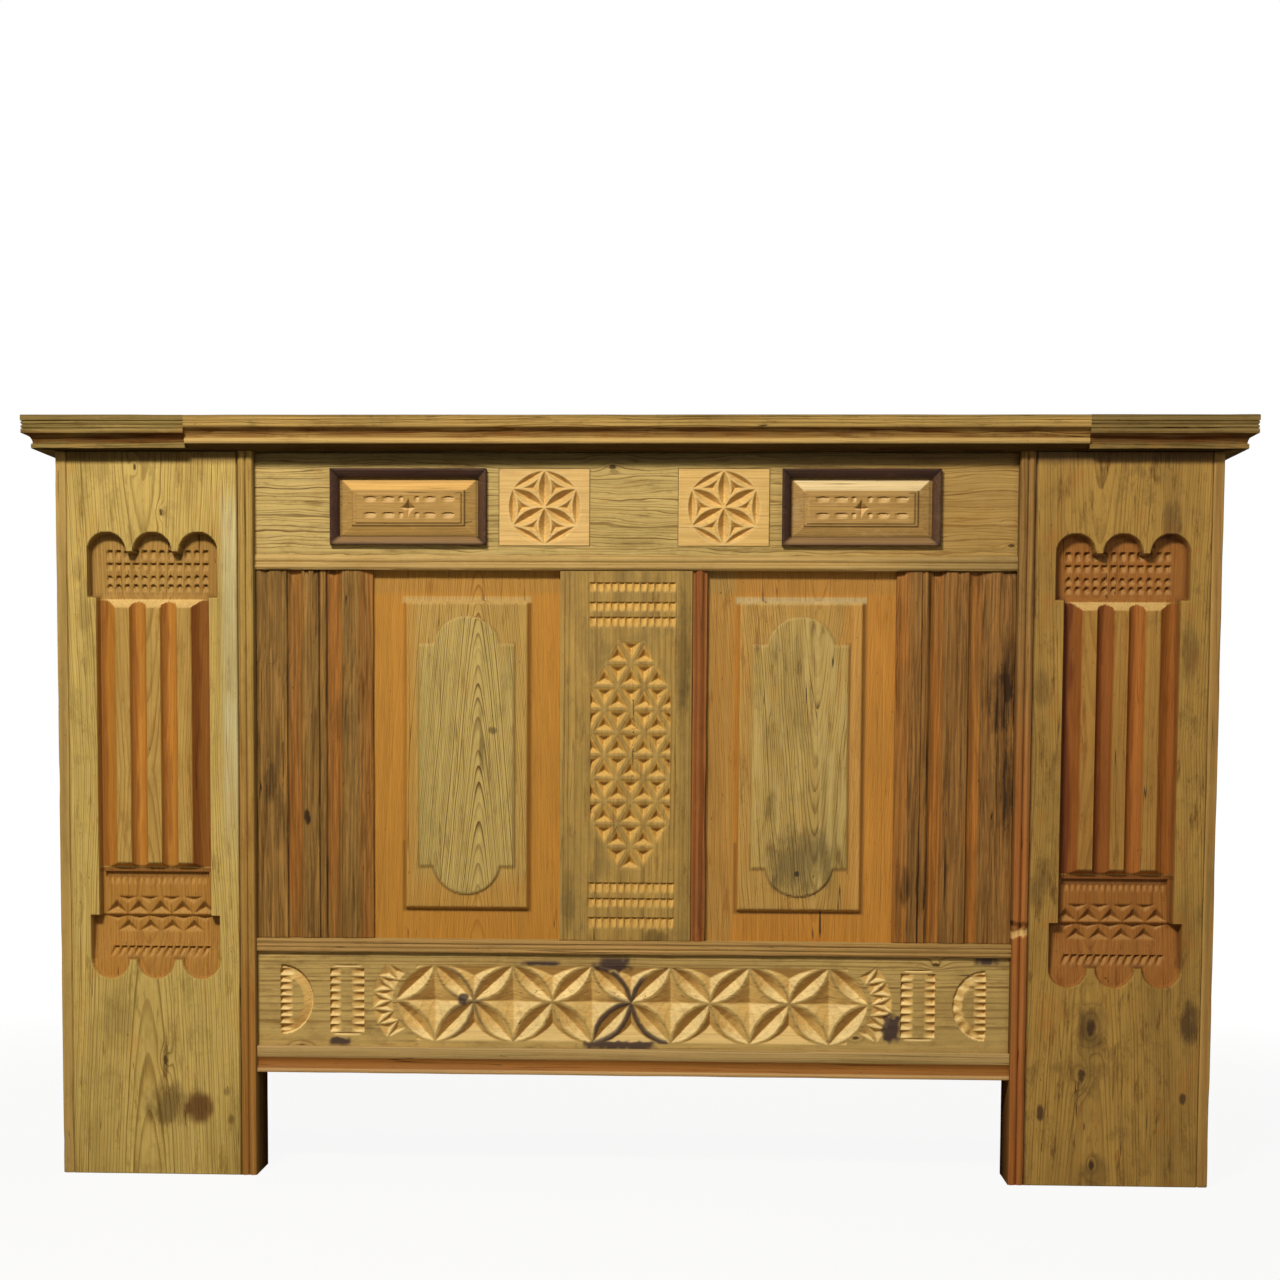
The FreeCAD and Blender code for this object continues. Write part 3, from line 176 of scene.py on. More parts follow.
def facets(x, z, depth):
    """Which facets of a carving face down or right, away from the light, and which face up or left, towards
    it, each from 0 to 1 by the slopes of the depth: masks for painted shade and painted highlights."""
    across = np.gradient(depth, axis=1) / np.gradient(x, axis=1)
    up = np.gradient(depth, axis=0) / np.gradient(z, axis=0)
    shaded_facets = 0.45 * across - up
    return smooth(0.08, 0.55, shaded_facets), smooth(0.08, 0.55, -shaded_facets)


class Wire:
    """An output of a shading node. Arithmetic on wires and numbers adds Math nodes to the wire's tree."""

    def __init__(self, tree, socket=None):
        self.tree = tree
        self.socket = socket

    def add(self, kind, inputs=None, out=0, **settings):
        """A node of a kind: its settings are set first, then its sockets take values or links."""
        node = self.tree.nodes.new("ShaderNode" + kind)
        for setting, value in settings.items():
            setattr(node, setting, value)
        for socket, value in (inputs or {}).items():
            if isinstance(value, Wire):
                self.tree.links.new(value.socket, node.inputs[socket])
            else:
                node.inputs[socket].default_value = value
        return Wire(self.tree, node.outputs[out] if node.outputs else None)

    def other(self, out):
        """Another output of the node that this wire leaves."""
        return Wire(self.tree, self.socket.node.outputs[out])

    def math(self, operation, *terms):
        """A Math node that works on these terms."""
        return self.add("Math", dict(enumerate(terms)), operation=operation)

    def __add__(self, other):
        return self.math("ADD", self, other)

    def __sub__(self, other):
        return self.math("SUBTRACT", self, other)

    def __rsub__(self, other):
        return self.math("SUBTRACT", other, self)

    def __mul__(self, other):
        return self.math("MULTIPLY", self, other)

    def __truediv__(self, other):
        return self.math("DIVIDE", self, other)

    def __pow__(self, other):
        return self.math("POWER", self, other)

    __radd__ = __add__
    __rmul__ = __mul__

    def step(self, low, high):
        """The smooth step of this wire's value from low to high."""
        return self.add("MapRange", {0: self, 1: low, 2: high}, interpolation_type="SMOOTHSTEP")

    def mix(self, first, second, how="MIX"):
        """First colour to second colour, by this wire as the factor."""
        return self.add("Mix", {0: self, 6: first, 7: second}, out=2, data_type="RGBA", blend_type=how)

    def noise(self, detail, roughness=0.5):
        """Noise from 0 to 1 with this wire as its place."""
        return self.add("TexNoise", {"Vector": self, "Scale": 1.0, "Detail": detail, "Roughness": roughness})

    def mark(self, name):
        """A mark that the piece's mesh carries."""
        return self.add("Attribute", out=2, attribute_name=name)

    def own_place(self):
        """The place of a point in its object's own coordinates."""
        return self.add("TexCoord", out=3)


def new_tree(name):
    """An empty material and a wire to build its nodes from."""
    material = bpy.data.materials.new(name)
    material.use_nodes = True
    material.node_tree.nodes.clear()
    return material, Wire(material.node_tree)


def pine(name, along, early, late, ring=0.005, pith=(0.0, 0.15), taper=(0.0, 0.0), wander=0.004,
         contrast=0.7, patina="6f5a2c", patched=0.45, cut="b07a34", heart_and_shade="5e2c10", pale="e3bd78",
         grey="c8c094", edge="c9a45e", grime_and_shade="24150a", knots=(), stains=(), dirt=0.5, streaks=0.34,
         mottled=0.4, weather=0.0, rough=0.5, gloss=0.12, seed=0):
    """Old oiled pine. A ring's number is the distance from a pith line along the grain, bent by slow
    noise, less a taper of the log away from one place and with a hill at each knot; the share of a ring
    passed gives its late wood. Fibres, streaks, clouds, specks and checks are noise drawn out along the
    grain, weather opens dark grooves, and marks on the mesh bring cuts, heartwood, wear and dirt, and
    also painted shade and painted highlights on carved and sheltered parts."""
    material, start = new_tree(name)
    x = start.add("SeparateXYZ", {0: start.own_place()})
    y, z = x.other(1), x.other(2)
    run, across, inward = {"x": (x, z, y), "y": (y, x, z), "z": (z, x, y)}[along]

    def drawn(slow, fast):
        """A place stretched along the grain: slow steps a metre along it, fast steps a metre across it."""
        parts = {0: run * slow + seed * 3.7, 1: across * fast + seed * 1.3, 2: inward * fast + seed * 2.1}
        return start.add("CombineXYZ", parts)

    bend = (drawn(1.7, 7.0).noise(2.0) - 0.5) * (wander * 5) + (drawn(11.0, 60.0).noise(2.0) - 0.5) * wander
    sideways = across - pith[0] + bend
    behind = inward - pith[1]
    ringed = (sideways * sideways + behind * behind) ** 0.5
    ringed = ringed - start.math("ABSOLUTE", run - taper[0]) * taper[1]
    core = None
    for along_at, across_at, size in knots:
        far = ((run - along_at) / (size * 2.4)) ** 2.0 + ((across - across_at) / (size * 1.2)) ** 2.0
        ringed = ringed + start.math("EXPONENT", far * -1.0) * (size * 1.1)
        knot = (far + (drawn(150.0, 220.0).noise(2.0) - 0.5) * 0.3).step(0.24, 0.05)
        core = knot if core is None else start.math("MAXIMUM", core, knot)
    uneven = start.add("CombineXYZ", {0: ringed * 130.0, 1: seed * 5.0}).noise(1.0)
    share = start.math("FRACT", ringed / ring + uneven * 2.2)
    streak = drawn(2.6, 150.0).noise(3.0, 0.6)
    cloud = drawn(8.0, 24.0).noise(5.0, 0.62)
    bold = start.add("CombineXYZ", {0: ringed * 260.0, 1: seed * 9.0}).noise(2.0).step(0.36, 0.62)
    late_wood = share.step(0.5, 0.92) * share.step(1.0, 0.95) * (cloud * 1.2 + 0.3) * (bold * 0.95 + 0.3)
    smear = drawn(15.0, 75.0).noise(6.0, 0.7)
    bloom = drawn(17.0, 24.0).noise(7.0, 0.74)
    fibre = drawn(45.0, 1500.0).noise(3.0)
    thread = drawn(9.0, 420.0).noise(3.0, 0.6)
    patch = drawn(2.4, 9.0).noise(4.0, 0.6)
    speck = drawn(120.0, 260.0).noise(4.0, 0.65).step(0.66, 0.76) * dirt
    check = start.math("ABSOLUTE", drawn(1.1, 60.0).noise(2.0) - 0.5)
    check = check.step(0.006, 0.001) * streak.step(0.5, 0.62) * dirt
    torn = drawn(9.0, 330.0).noise(4.0, 0.6).step(0.60, 0.36) * weather

    shade = streak * streaks + fibre * 0.18 + thread * 0.6 + patch * 0.22 + cloud * 0.42
    shade = shade + (0.29 - streaks * 0.5)
    full = start.math("ADD", 1.0, 0.0)
    colour = (late_wood * contrast).mix(tint(early), tint(late))
    for amount, tone in (
        (patch.step(0.42, 0.75) * patched, patina), (cloud.step(0.50, 0.72) * (patched * 0.5), late),
        (smear.step(0.53, 0.70) * mottled, late), (smear.step(0.46, 0.30) * (mottled * 0.6), edge),
        (bloom.step(0.52, 0.66) * (mottled * 0.6), patina), (bloom.step(0.48, 0.34) * (mottled * 0.4), cut),
    ):
        colour = amount.mix(colour, tint(tone))
    colour = full.mix(colour, shade, "MULTIPLY")
    drift = late_wood * 0.22 + smear.step(0.52, 0.72) * (mottled * 0.4)
    grain = full.mix(drift.mix((1.0, 1.0, 1.0, 1.0), tint("b98a54")), shade, "MULTIPLY")
    # The heartwood mark also paints shade, and the pale and grey marks also paint highlights.
    for mark, tone in (("cut", cut), ("heart_and_shade", heart_and_shade), ("pale", pale), ("grey", grey)):
        colour = start.mark(mark).mix(colour, full.mix(tint(tone), grain, "MULTIPLY"))
    worn = start.mark("edge") * streak.step(0.3, 0.6)
    colour = (worn * 0.7).mix(colour, tint(edge))
    if core is not None:
        colour = (core * 0.85).mix(colour, tint("3b2412"))
    dark = speck + check + torn * 0.62
    for along_at, across_at, long, wide, depth in stains:
        far = ((run - along_at) / long) ** 2.0 + ((across - across_at) / wide) ** 2.0
        spread = (far + (drawn(26.0, 60.0).noise(5.0, 0.7) - 0.5) * 3.0).step(1.3, 0.1)
        dark = dark + spread * depth
    # The dirt mark also paints shade under mouldings, in grooves and pits, and on shaded facets.
    dark = dark + start.mark("grime_and_shade")
    colour = start.math("MINIMUM", dark, 0.93).mix(colour, tint(grime_and_shade))
    roughness = rough + patch * 0.18 - late_wood * 0.08 + speck * 0.2
    height = late_wood * 0.35 + fibre * 0.22 + streak * 0.3 - check * 1.4 - speck * 0.5 - torn * 0.9
    bump = start.add("Bump", {"Strength": 0.55, "Distance": 0.0009, "Height": height})
    shader = start.add("BsdfPrincipled", {
        "Base Color": colour, "Roughness": roughness, "Normal": bump, "Specular IOR Level": gloss,
    })
    start.add("OutputMaterial", {0: shader})
    return material


def box_in(u, z, half, low, high):
    """How far a point lies inside an upright rectangle, by its nearest side."""
    return np.minimum.reduce([half - np.abs(u), z - low, high - z])


HANDS = (("left", -1), ("right", 1))
CARVED_STEP = 0.0015
NICHE_DEPTH, NICHE_RIM, NICHE_RUN_OUT = 0.018, 0.003, 0.008
NECK_DEPTH, NECK_HALF, POCKET_HALF = 0.0145, 0.080, 0.0925
ARCH, ARCH_PITCH = 0.0275, 0.065
NICHE_HEAD, SHOULDER_HIGH, SHOULDER_LOW, NICHE_FOOT = 0.913, 0.821, 0.372, 0.281
BLOCK_HEAD, BLOCK_FOOT, BLOCK_BEVEL, BLOCK_TOE = 0.819, 0.440, 0.012, 0.007
FILLET, FILLET_PITCH, FILLET_SINK = 0.020, 0.0435, 0.002
FLUTE_DEPTH, BLOCK_SLOPE = 0.009, 0.019
SILL_HEAD, SILL_FOOT = 0.433, 0.426
GOUGE_HALF = 0.36
# Head, foot and bow of the rows in the upper pocket.
UPPER_ROWS = ((0.888, 0.874, 0.1), (0.8705, 0.859, 0.1), (0.853, 0.8415, 0.5), (0.8405, 0.829, 0.5))
SLANT_LEVEL, SLANT = 0.318, 0.45
# Rows of cuts as first, last, count, head or base, foot or tip, and depth.
SLANT_ROW, SILL_ROW = (-0.074, 0.068, 13, 0.327, 0.311, 0.006), (-0.072, 0.070, 17, 0.4255, 0.415, 0.0035)
LOWER_CHIPS = (
    (-0.083, 0.075, 5, 0.374, 0.3935, 0.0075), (-0.0672, 0.0592, 4, 0.348, 0.3655, 0.007),
    (-0.0672, 0.0592, 4, 0.3985, 0.388, 0.0055), (-0.083, 0.075, 5, 0.371, 0.362, 0.0045),
)
SPILL_X, SPILL_Z, SPILL_WIDE, SPILL_TALL = -0.6177, 0.098, 0.019, 0.022
# Heartwood in the block's hollows from left to right: its even share, and what the dark side has more.
HEART = {
    "left": ((0.0, 0.5), (0.0, 0.45), (0.0, 0.5), (0.6, 0.2)),
    "right": ((0.45, 0.45), (0.45, 0.35), (0.0, 0.40), (0.0, 0.25)),
}
pilaster_wood = {
    "left": pine(
        "pilaster pine left", "z", "c7aa5f", "74561e", ring=0.0034, pith=(-0.688, -0.190),
        taper=(0.58, 0.04), contrast=0.75, mottled=0.6, patina="887036", patched=0.6, grime_and_shade="472b10",
        cut="b5792f", edge="b89a54", seed=1, streaks=0.36, dirt=0.7,
        knots=((0.94, -0.664, 0.005), (0.165, -0.664, 0.007), (1.003, -0.70, 0.005)),
        stains=((0.100, -0.662, 0.034, 0.034, 0.65), (0.22, -0.735, 0.05, 0.030, 0.2),
                (0.17, -0.664, 0.045, 0.005, 0.6), (0.098, -0.6177, 0.026, 0.022, 0.5),
                (0.120, -0.576, 0.008, 0.006, 0.5), (0.080, -0.571, 0.008, 0.006, 0.5),
                (0.80, -0.775, 0.03, 0.012, 0.3), (0.86, -0.782, 0.02, 0.008, 0.35)),
    ),
    "right": pine(
        "pilaster pine right", "z", "b08a44", "5e3f1a", ring=0.0036, pith=(0.645, -0.190),
        taper=(0.62, 0.04), contrast=0.55, mottled=0.85, patina="76592c", patched=0.7, grime_and_shade="33211a",
        cut="a6662b", edge="a2803f", seed=2, streaks=0.34, dirt=0.8,
        knots=((0.225, 0.646, 0.012), (0.158, 0.634, 0.010), (0.03, 0.65, 0.008)),
        stains=((0.235, 0.782, 0.034, 0.016, 0.75), (0.105, 0.577, 0.012, 0.006, 0.8),
                (0.02, 0.655, 0.025, 0.022, 0.4), (0.225, 0.650, 0.035, 0.022, 0.35),
                (0.17, 0.640, 0.09, 0.022, 0.25), (0.126, 0.776, 0.008, 0.005, 0.8),
                (0.745, 0.772, 0.05, 0.012, 0.4), (0.93, 0.742, 0.03, 0.016, 0.45),
                (0.43, 0.570, 0.05, 0.014, 0.4), (0.70, 0.570, 0.03, 0.012, 0.35)),
    ),
}
for hand, side in HANDS:
    node = f"pilaster_board_{hand}"
    low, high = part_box(node)
    middle = (low.x + high.x) / 2
    reach = POCKET_HALF + NICHE_RIM
    x, z = np.meshgrid(
        board_lines(low.x, high.x, 0.006, (middle - reach, middle + reach, CARVED_STEP)),
        board_lines(low.z, high.z, 0.010, (NICHE_FOOT - NICHE_RIM, NICHE_HEAD + NICHE_RIM, CARVED_STEP)),
    )
    from_middle = x - middle
    u = side * from_middle
    inside = np.maximum.reduce([
        box_in(u, z, POCKET_HALF, SHOULDER_HIGH, NICHE_HEAD - ARCH),
        box_in(u, z, NECK_HALF, SHOULDER_LOW - ARCH, SHOULDER_HIGH + ARCH),
        box_in(u, z, POCKET_HALF, NICHE_FOOT + ARCH, SHOULDER_LOW),
        *(ARCH - np.hypot(u - ARCH_PITCH * i, z - NICHE_HEAD + ARCH) for i in (-1, 0, 1)),
        *(ARCH - np.hypot(u - ARCH_PITCH * i, z - NICHE_FOOT - ARCH) for i in (-1, 0, 1)),
    ])
    run_out = NICHE_RUN_OUT + (NICHE_DEPTH - NICHE_RUN_OUT) * smooth(NICHE_FOOT, SHOULDER_LOW, z)
    floor = run_out + (NECK_DEPTH - run_out) * smooth(SHOULDER_LOW - 0.001, SHOULDER_LOW + 0.001, z)
    floor = floor + (NICHE_DEPTH - NECK_DEPTH) * smooth(SHOULDER_HIGH, SHOULDER_HIGH + 0.004, z)
    sill = box_in(u, z, NECK_HALF - 0.006, SILL_FOOT, SILL_HEAD) > 0
    floor = np.where(sill, NICHE_DEPTH + 0.002, floor)
    cuts = sum(
        gouges(u, z, -0.078, 0.071, 12, head, foot, 0.0065, GOUGE_HALF, bow)
        for head, foot, bow in UPPER_ROWS
    )
    slanted = u - side * (z - SLANT_LEVEL) * SLANT
    cuts = cuts + gouges(slanted, z, *SLANT_ROW, GOUGE_HALF)
    cuts = cuts + gouges(u, z, *SILL_ROW, GOUGE_HALF)
    cuts = cuts + sum(wedges(u, z, *chip) for chip in LOWER_CHIPS)
    nearest = np.clip(np.round(u / FILLET_PITCH), -1, 1) * FILLET_PITCH
    off = np.abs(u - nearest) - FILLET / 2
    flute = (FILLET_PITCH - FILLET) / 2
    hollow = FLUTE_DEPTH * np.sqrt(np.clip(1 - ((off - flute) / flute) ** 2, 0, 1))
    slope = (NECK_DEPTH - FILLET_SINK) * (1 - np.clip(1 - off / BLOCK_SLOPE, 0, 1) ** 1.6)
    block = FILLET_SINK + np.where(off <= 0, 0, np.where(np.abs(u) < FILLET_PITCH, hollow, slope))
    stand = np.clip((BLOCK_HEAD - z) / BLOCK_BEVEL, 0, 1) * np.clip((z - BLOCK_FOOT) / BLOCK_TOE, 0, 1)
    plane = floor + (FILLET_SINK - floor) * stand
    bevel = (plane > block + 1e-5) & (stand > 0) & (stand < 1) & (inside > 0)
    block = np.maximum(block, plane)
    carved = floor + cuts
    depth = smooth(0, 0.0022, inside) * np.where(stand > 0, np.minimum(carved, block), carved)
    rounding, rim = arris(x, z, 0.0016)
    depth = depth + rounding + 0.00025 * (1 + mottle(x / 0.03, z / 0.2, 11 + side))

    is_left, above_neck, within = side < 0, z > SHOULDER_HIGH, smooth(0.0, 0.0015, inside)
    joint = smooth(0.0030, 0.0008, np.minimum(x - low.x, high.x - x)) * np.where(u > 0, 0.6, 1)
    fillet = smooth(0.0004, -0.0004, off) * smooth(0.5, 1.0, stand)
    fillet_seen = fillet * (inside > 0)
    shaded_facets, lit = facets(x, z, cuts)
    notched = smooth(0.0002, 0.001, cuts)
    across = (from_middle - FILLET / 2) % FILLET_PITCH / (FILLET_PITCH - FILLET)
    dark_side = smooth(0.55, 0.30, across + 0.16 * mottle(x / 0.006, z / 0.045, 13 + side))
    hollow_number = np.digitize(from_middle, (-FILLET_PITCH, 0, FILLET_PITCH))
    even, more = np.array(HEART[hand])[hollow_number].transpose(2, 0, 1)
    on_block = within * (stand > 0.05) * (1 - fillet) * (1 - bevel * (z > BLOCK_FOOT + 0.1))
    cut_floor = within * (stand <= 0)
    bleached = smooth(0.094, 0.104, from_middle) * smooth(0.40, 0.60, z) * smooth(0.99, 0.93, z)
    bleached = bleached * (0.85 + 0.3 * mottle(x / 0.012, z / 0.05, 15))
    spill = np.hypot((x - SPILL_X) / SPILL_WIDE, (z - SPILL_Z) / SPILL_TALL)
    spill = spill + 0.3 * mottle(x / 0.008, z / 0.012, 16)
    marks = {
        "cut": on_block * 0.95 + cut_floor * np.where(above_neck & is_left, 0.45, 0.75) + 0.30 * fillet_seen,
        "heart_and_shade": on_block * (even + more * dark_side) + 0.72 * is_left * smooth(1.25, 0.75, spill)
        + 0.5 * cut_floor * smooth(0.450, 0.440, z) * (z > SILL_HEAD),
        # Painted highlight on the block's top bevel and on the notches' sides that face the light.
        "pale": np.where(bevel & (z > BLOCK_HEAD - BLOCK_BEVEL), 0.7, 0) + 0.25 * notched * lit,
        "grey": 0.55 * is_left * bleached,
        "edge": np.maximum(rim * (1 - joint), 0.6 * bell(inside + 0.0008, 0.0012))
        + (0.24 + 0.11 * side) * fillet_seen,
        # Painted shade under the cornice, in the sill groove, on shaded notch sides and by the niche walls.
        "grime_and_shade": 0.7 * smooth(1.008, 1.015, z) + 0.35 * sill + 0.16 * cut_floor
        + 0.35 * notched * shaded_facets + 0.6 * joint
        + 0.4 * smooth(0.009, 0.0, inside) * smooth(-0.0005, 0.0005, inside) * (z > NICHE_FOOT + ARCH)
        + 0.12 * is_left * (fillet + cut_floor * above_neck),
    }
    relief(node, x, z, low.y, high.y, depth, marks, pilaster_wood[hand])

# Pilaster cheeks: the inner sides of the legs, planks set on edge behind the boards. Two reeds are run
# along the front edge with a scratch stock, and the wood is fresher and redder than the boards'.


def tube(node, runs, marks, material, body="cabinet", closed=False):
    """Sections carried along paths: row i of a run is the section's outline at station i, and a mark has
    one layer for each run. Neighbouring outlines are joined by a belt of faces; the first and last are
    closed by caps, or joined too if the path is closed."""
    quads, caps, used = [], [], 0
    for run in runs:
        index = np.arange(run.shape[0] * run.shape[1]).reshape(run.shape[:2]) + used
        used += index.size
        if closed:
            index = np.concatenate([index, index[:1]])
        else:
            caps += [index[0][::-1], index[-1]]
        after = np.roll(index, -1, axis=1)
        quads.append(np.stack([index[:-1], after[:-1], after[1:], index[1:]], -1).reshape(-1, 4))
    spread = {}
    for mark, layers in marks.items():
        full = [np.broadcast_to(layer, run.shape[:2]).reshape(-1) for layer, run in zip(layers, runs)]
        spread[mark] = np.concatenate(full)
    points = np.concatenate([run.reshape(-1, 3) for run in runs])
    piece(node, points, np.concatenate(quads), caps, spread, material, body)


def reed_row(start, end, root, crown, count, steps=7):
    """Half-round reeds side by side from start to end: pairs of (place along the row, height above it),
    where the height goes from root to crown and back as a half sine in each reed."""
    way = np.linspace(0, count, count * steps + 1)
    height = root + (crown - root) * np.abs(np.sin(np.pi * way))
    return np.stack([start + (end - start) * way / count, height], -1)


def worn_run(outline, start, end, seed, wear=0.0006, step=0.012):
    """An outline of (a, b) carried from start to end, which may differ from point to point. Convex corners
    get a mark, and noise sinks them a little inwards. Gives a, b, the place along, and the mark."""
    start, end = (np.broadcast_to(place, len(outline)) for place in (start, end))
    count = max(3, round(float(np.mean(np.abs(end - start))) / step) + 1)
    way = np.linspace(0, 1, count)[:, None]
    along = start + (end - start) * way
    before, after = np.roll(outline, 1, axis=0) - outline, np.roll(outline, -1, axis=0) - outline
    turn = before[:, 0] * after[:, 1] - before[:, 1] * after[:, 0]
    turn = turn / (np.linalg.norm(before, axis=1) * np.linalg.norm(after, axis=1) + 1e-12)
    area = np.sum(outline[:, 0] * np.roll(outline[:, 1], -1) - outline[:, 1] * np.roll(outline[:, 0], -1))
    convex = np.clip(-turn * np.sign(area), 0, 1)
    inward = outline.mean(0) - outline
    inward = inward / np.linalg.norm(inward, axis=1)[:, None]
    number = np.arange(len(outline))[None, :]
    loss = convex * wear * smooth(-0.3, 0.9, mottle(along / 0.05, number * 0.37, seed))
    return outline[:, 0] + inward[:, 0] * loss, outline[:, 1] + inward[:, 1] * loss, along, convex


CHEEK_REED, CHEEK_EASE = 0.003, 0.001
SPLINTER_LEVEL, SPLINTER_DEPTH, BRUISE_LEVEL = 0.356, 0.0022, 0.370
cheek_wood = {
    hand: pine(f"cheek pine {hand}", "z", early, late, ring=0.004, pith=(pith, -0.2), patina=patina, cut=cut,
               edge=edge, seed=seed, streaks=0.5, gloss=0.0, mottled=0.6)
    for hand, early, late, pith, patina, cut, edge, seed in (
        ("left", "b4944f", "7a5a2a", -0.40, "7c5c2a", "a0682e", "bc9c5c", 3),
        ("right", "9c7844", "6e4826", 0.40, "6c5228", "a8602e", "b08a50", 4))
}
for hand, side in HANDS:
    node = f"pilaster_cheek_{hand}"
    low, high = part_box(node)
    outline = np.concatenate([
        reed_row(low.x, high.x, low.y + CHEEK_REED, low.y, 2),
        [(high.x, high.y - CHEEK_EASE), (high.x - CHEEK_EASE, high.y)],
        [(low.x + CHEEK_EASE, high.y), (low.x, high.y - CHEEK_EASE)],
    ])
    a, b, along, edge = worn_run(outline, low.z, high.z, 21 + side, step=0.002)
    front = outline[:, 1] < low.y + CHEEK_REED + 1e-6
    valley = (outline[:, 1] > low.y + CHEEK_REED * 0.75) & front
    ragged = 0.0022 * mottle(a / 0.0035, along / 0.05, 24)
    torn_off = front * (side > 0)
    from_splinter = np.abs(along - SPLINTER_LEVEL - 0.15 * (a - low.x) - ragged)
    splinter = smooth(0.0062, 0.0042, from_splinter) * torn_off
    bruise = smooth(0.0050, 0.0020, np.abs(along - BRUISE_LEVEL + ragged)) * torn_off
    redder = (0.6 + 0.2 * side) * smooth(0.85, 0.45, along)
    # Painted shade on the faces behind the reeded front, darkest low down under the base rail.
    painted_side_shade = (0.35 + 0.58 * smooth(0.20, 0.15, along)) * ~front
    marks = {
        "edge": [edge],
        "cut": [redder + (0.2 - 0.2 * side) * smooth(0.36, 0.22, along)],
        "pale": [0.9 * splinter],
        "grime_and_shade": [painted_side_shade + 0.55 * valley * (1 - splinter) + 0.6 * bruise],
    }
    points = np.stack([a, b + SPLINTER_DEPTH * splinter, along], -1)
    tube(node, [points], marks, cheek_wood[hand])

# End planks: two upright pine planks to each end, tongued at their joint and nailed to the posts behind.
# The arrises are rounded by wear, and small rounds meet at the joint.


def rounded(a0, b0, a1, b1, radius, margin):
    """A rectangle's outline with quarter-round corners of four points each, and a point a margin away on
    each side of them; with it a mark that is 1 in the middle of a corner and 0 on the margins."""
    parts = []
    for a, b, start in ((a1 - radius, b0 + radius, -90), (a1 - radius, b1 - radius, 0),
                        (a0 + radius, b1 - radius, 90), (a0 + radius, b0 + radius, 180)):
        turn = np.radians(start + np.array([0, 30, 60, 90]))
        arc = np.stack([a + radius * np.cos(turn), b + radius * np.sin(turn)], -1)
        ahead = np.stack([-np.sin(turn), np.cos(turn)], -1) * margin
        parts += [arc[:1] - ahead[:1], arc, arc[-1:] + ahead[-1:]]
    return np.concatenate(parts), np.tile([0, 0.5, 1, 1, 0.5, 0], 4)


def planks(node, boxes, along, material, seed, body="cabinet"):
    """Sawn boards with worn arrises, one for each box: a rectangle with rounded corners is carried along
    the grain, shrinks by a quarter-round at both ends, and loses a little of its corners to noise."""
    ease, margin = 0.0018, 0.004
    runs, edges = [], []
    way, a_axis, b_axis = {"x": (0, 1, 2), "y": (1, 0, 2), "z": (2, 0, 1)}[along]
    for number, (low, high) in enumerate(boxes):
        low, high = np.array(low), np.array(high)
        outline, corner = rounded(low[a_axis], low[b_axis], high[a_axis], high[b_axis], ease, margin)
        middle = (low + high)[[a_axis, b_axis]] / 2
        near_end = np.array([0, 0.3, 1.0]) * ease
        far = high[way] - low[way]
        inner = np.linspace(ease + margin, far - ease - margin, max(3, round(far / 0.02)))
        place = np.concatenate([near_end, inner, far - near_end[::-1]])
        gap = np.clip(ease - np.minimum(place, far - place), 0, ease)
        shrink = (ease - np.sqrt(ease ** 2 - gap ** 2))[:, None]
        dent = mottle(place[:, None] / 0.04, np.arange(len(outline))[None, :] * 0.3, seed + number)
        shrink = shrink + 0.0012 * corner * smooth(0.1, 1.0, dent)
        ring = outline - np.sign(outline - middle) * shrink[..., None]
        points = np.empty(ring.shape[:2] + (3,))
        points[..., a_axis], points[..., b_axis] = ring[..., 0], ring[..., 1]
        points[..., way] = low[way] + place[:, None]
        runs.append(points)
        edges.append(np.maximum(corner, (gap / ease)[:, None]))
    tube(node, runs, {"edge": edges}, material, body)


END_JOINT = -0.003
end_wood = {
    hand: pine(f"end pine {hand}", "z", early, late, ring=0.005, pith=(pith, 0.1), seed=seed, streaks=0.4)
    for hand, early, late, pith, seed in (
        ("left", "b09050", "80602e", -0.9, 5), ("right", "a47c42", "76532b", 0.9, 6))
}
for hand, side in HANDS:
    for part, seed in (("front", 31), ("rear", 33)):
        node = f"end_plank_{part}_{hand}"
        low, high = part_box(node)
        back = END_JOINT if part == "front" else high.y
        planks(node, [(low, (high.x, back, high.z))], "z", end_wood[hand], seed)

# Base rail: a thick pine rail across the foot, chip-carved with a knife. Six pairs of crossed petals with
# star pits between them fill the middle, then flame cuts, ladders of notches and half moons; old burns
# darken the middle.
PETAL_HALF, PETAL_RISE, PETAL_FALL, PETAL_WIDTH = 0.056, 0.052, 0.0585, 0.027
PETAL_LEVEL, PETAL_REACH = 0.252, 0.336
FLAME_X = 0.29
LADDER_HALF, LADDER_INNER, LADDER_OUTER = 0.046, 0.3815, 0.4295
MOON_SIDE, MOON_WIDE, MOON_HIGH, MOON_CUTS = 0.500, 0.046, 0.0505, 0.0445
FLAMES = ((-0.90, 0.90, 6, 0.049, 0.078, 0.0045), (-0.75, 0.75, 5, 0.080, 0.052, 0.0045))
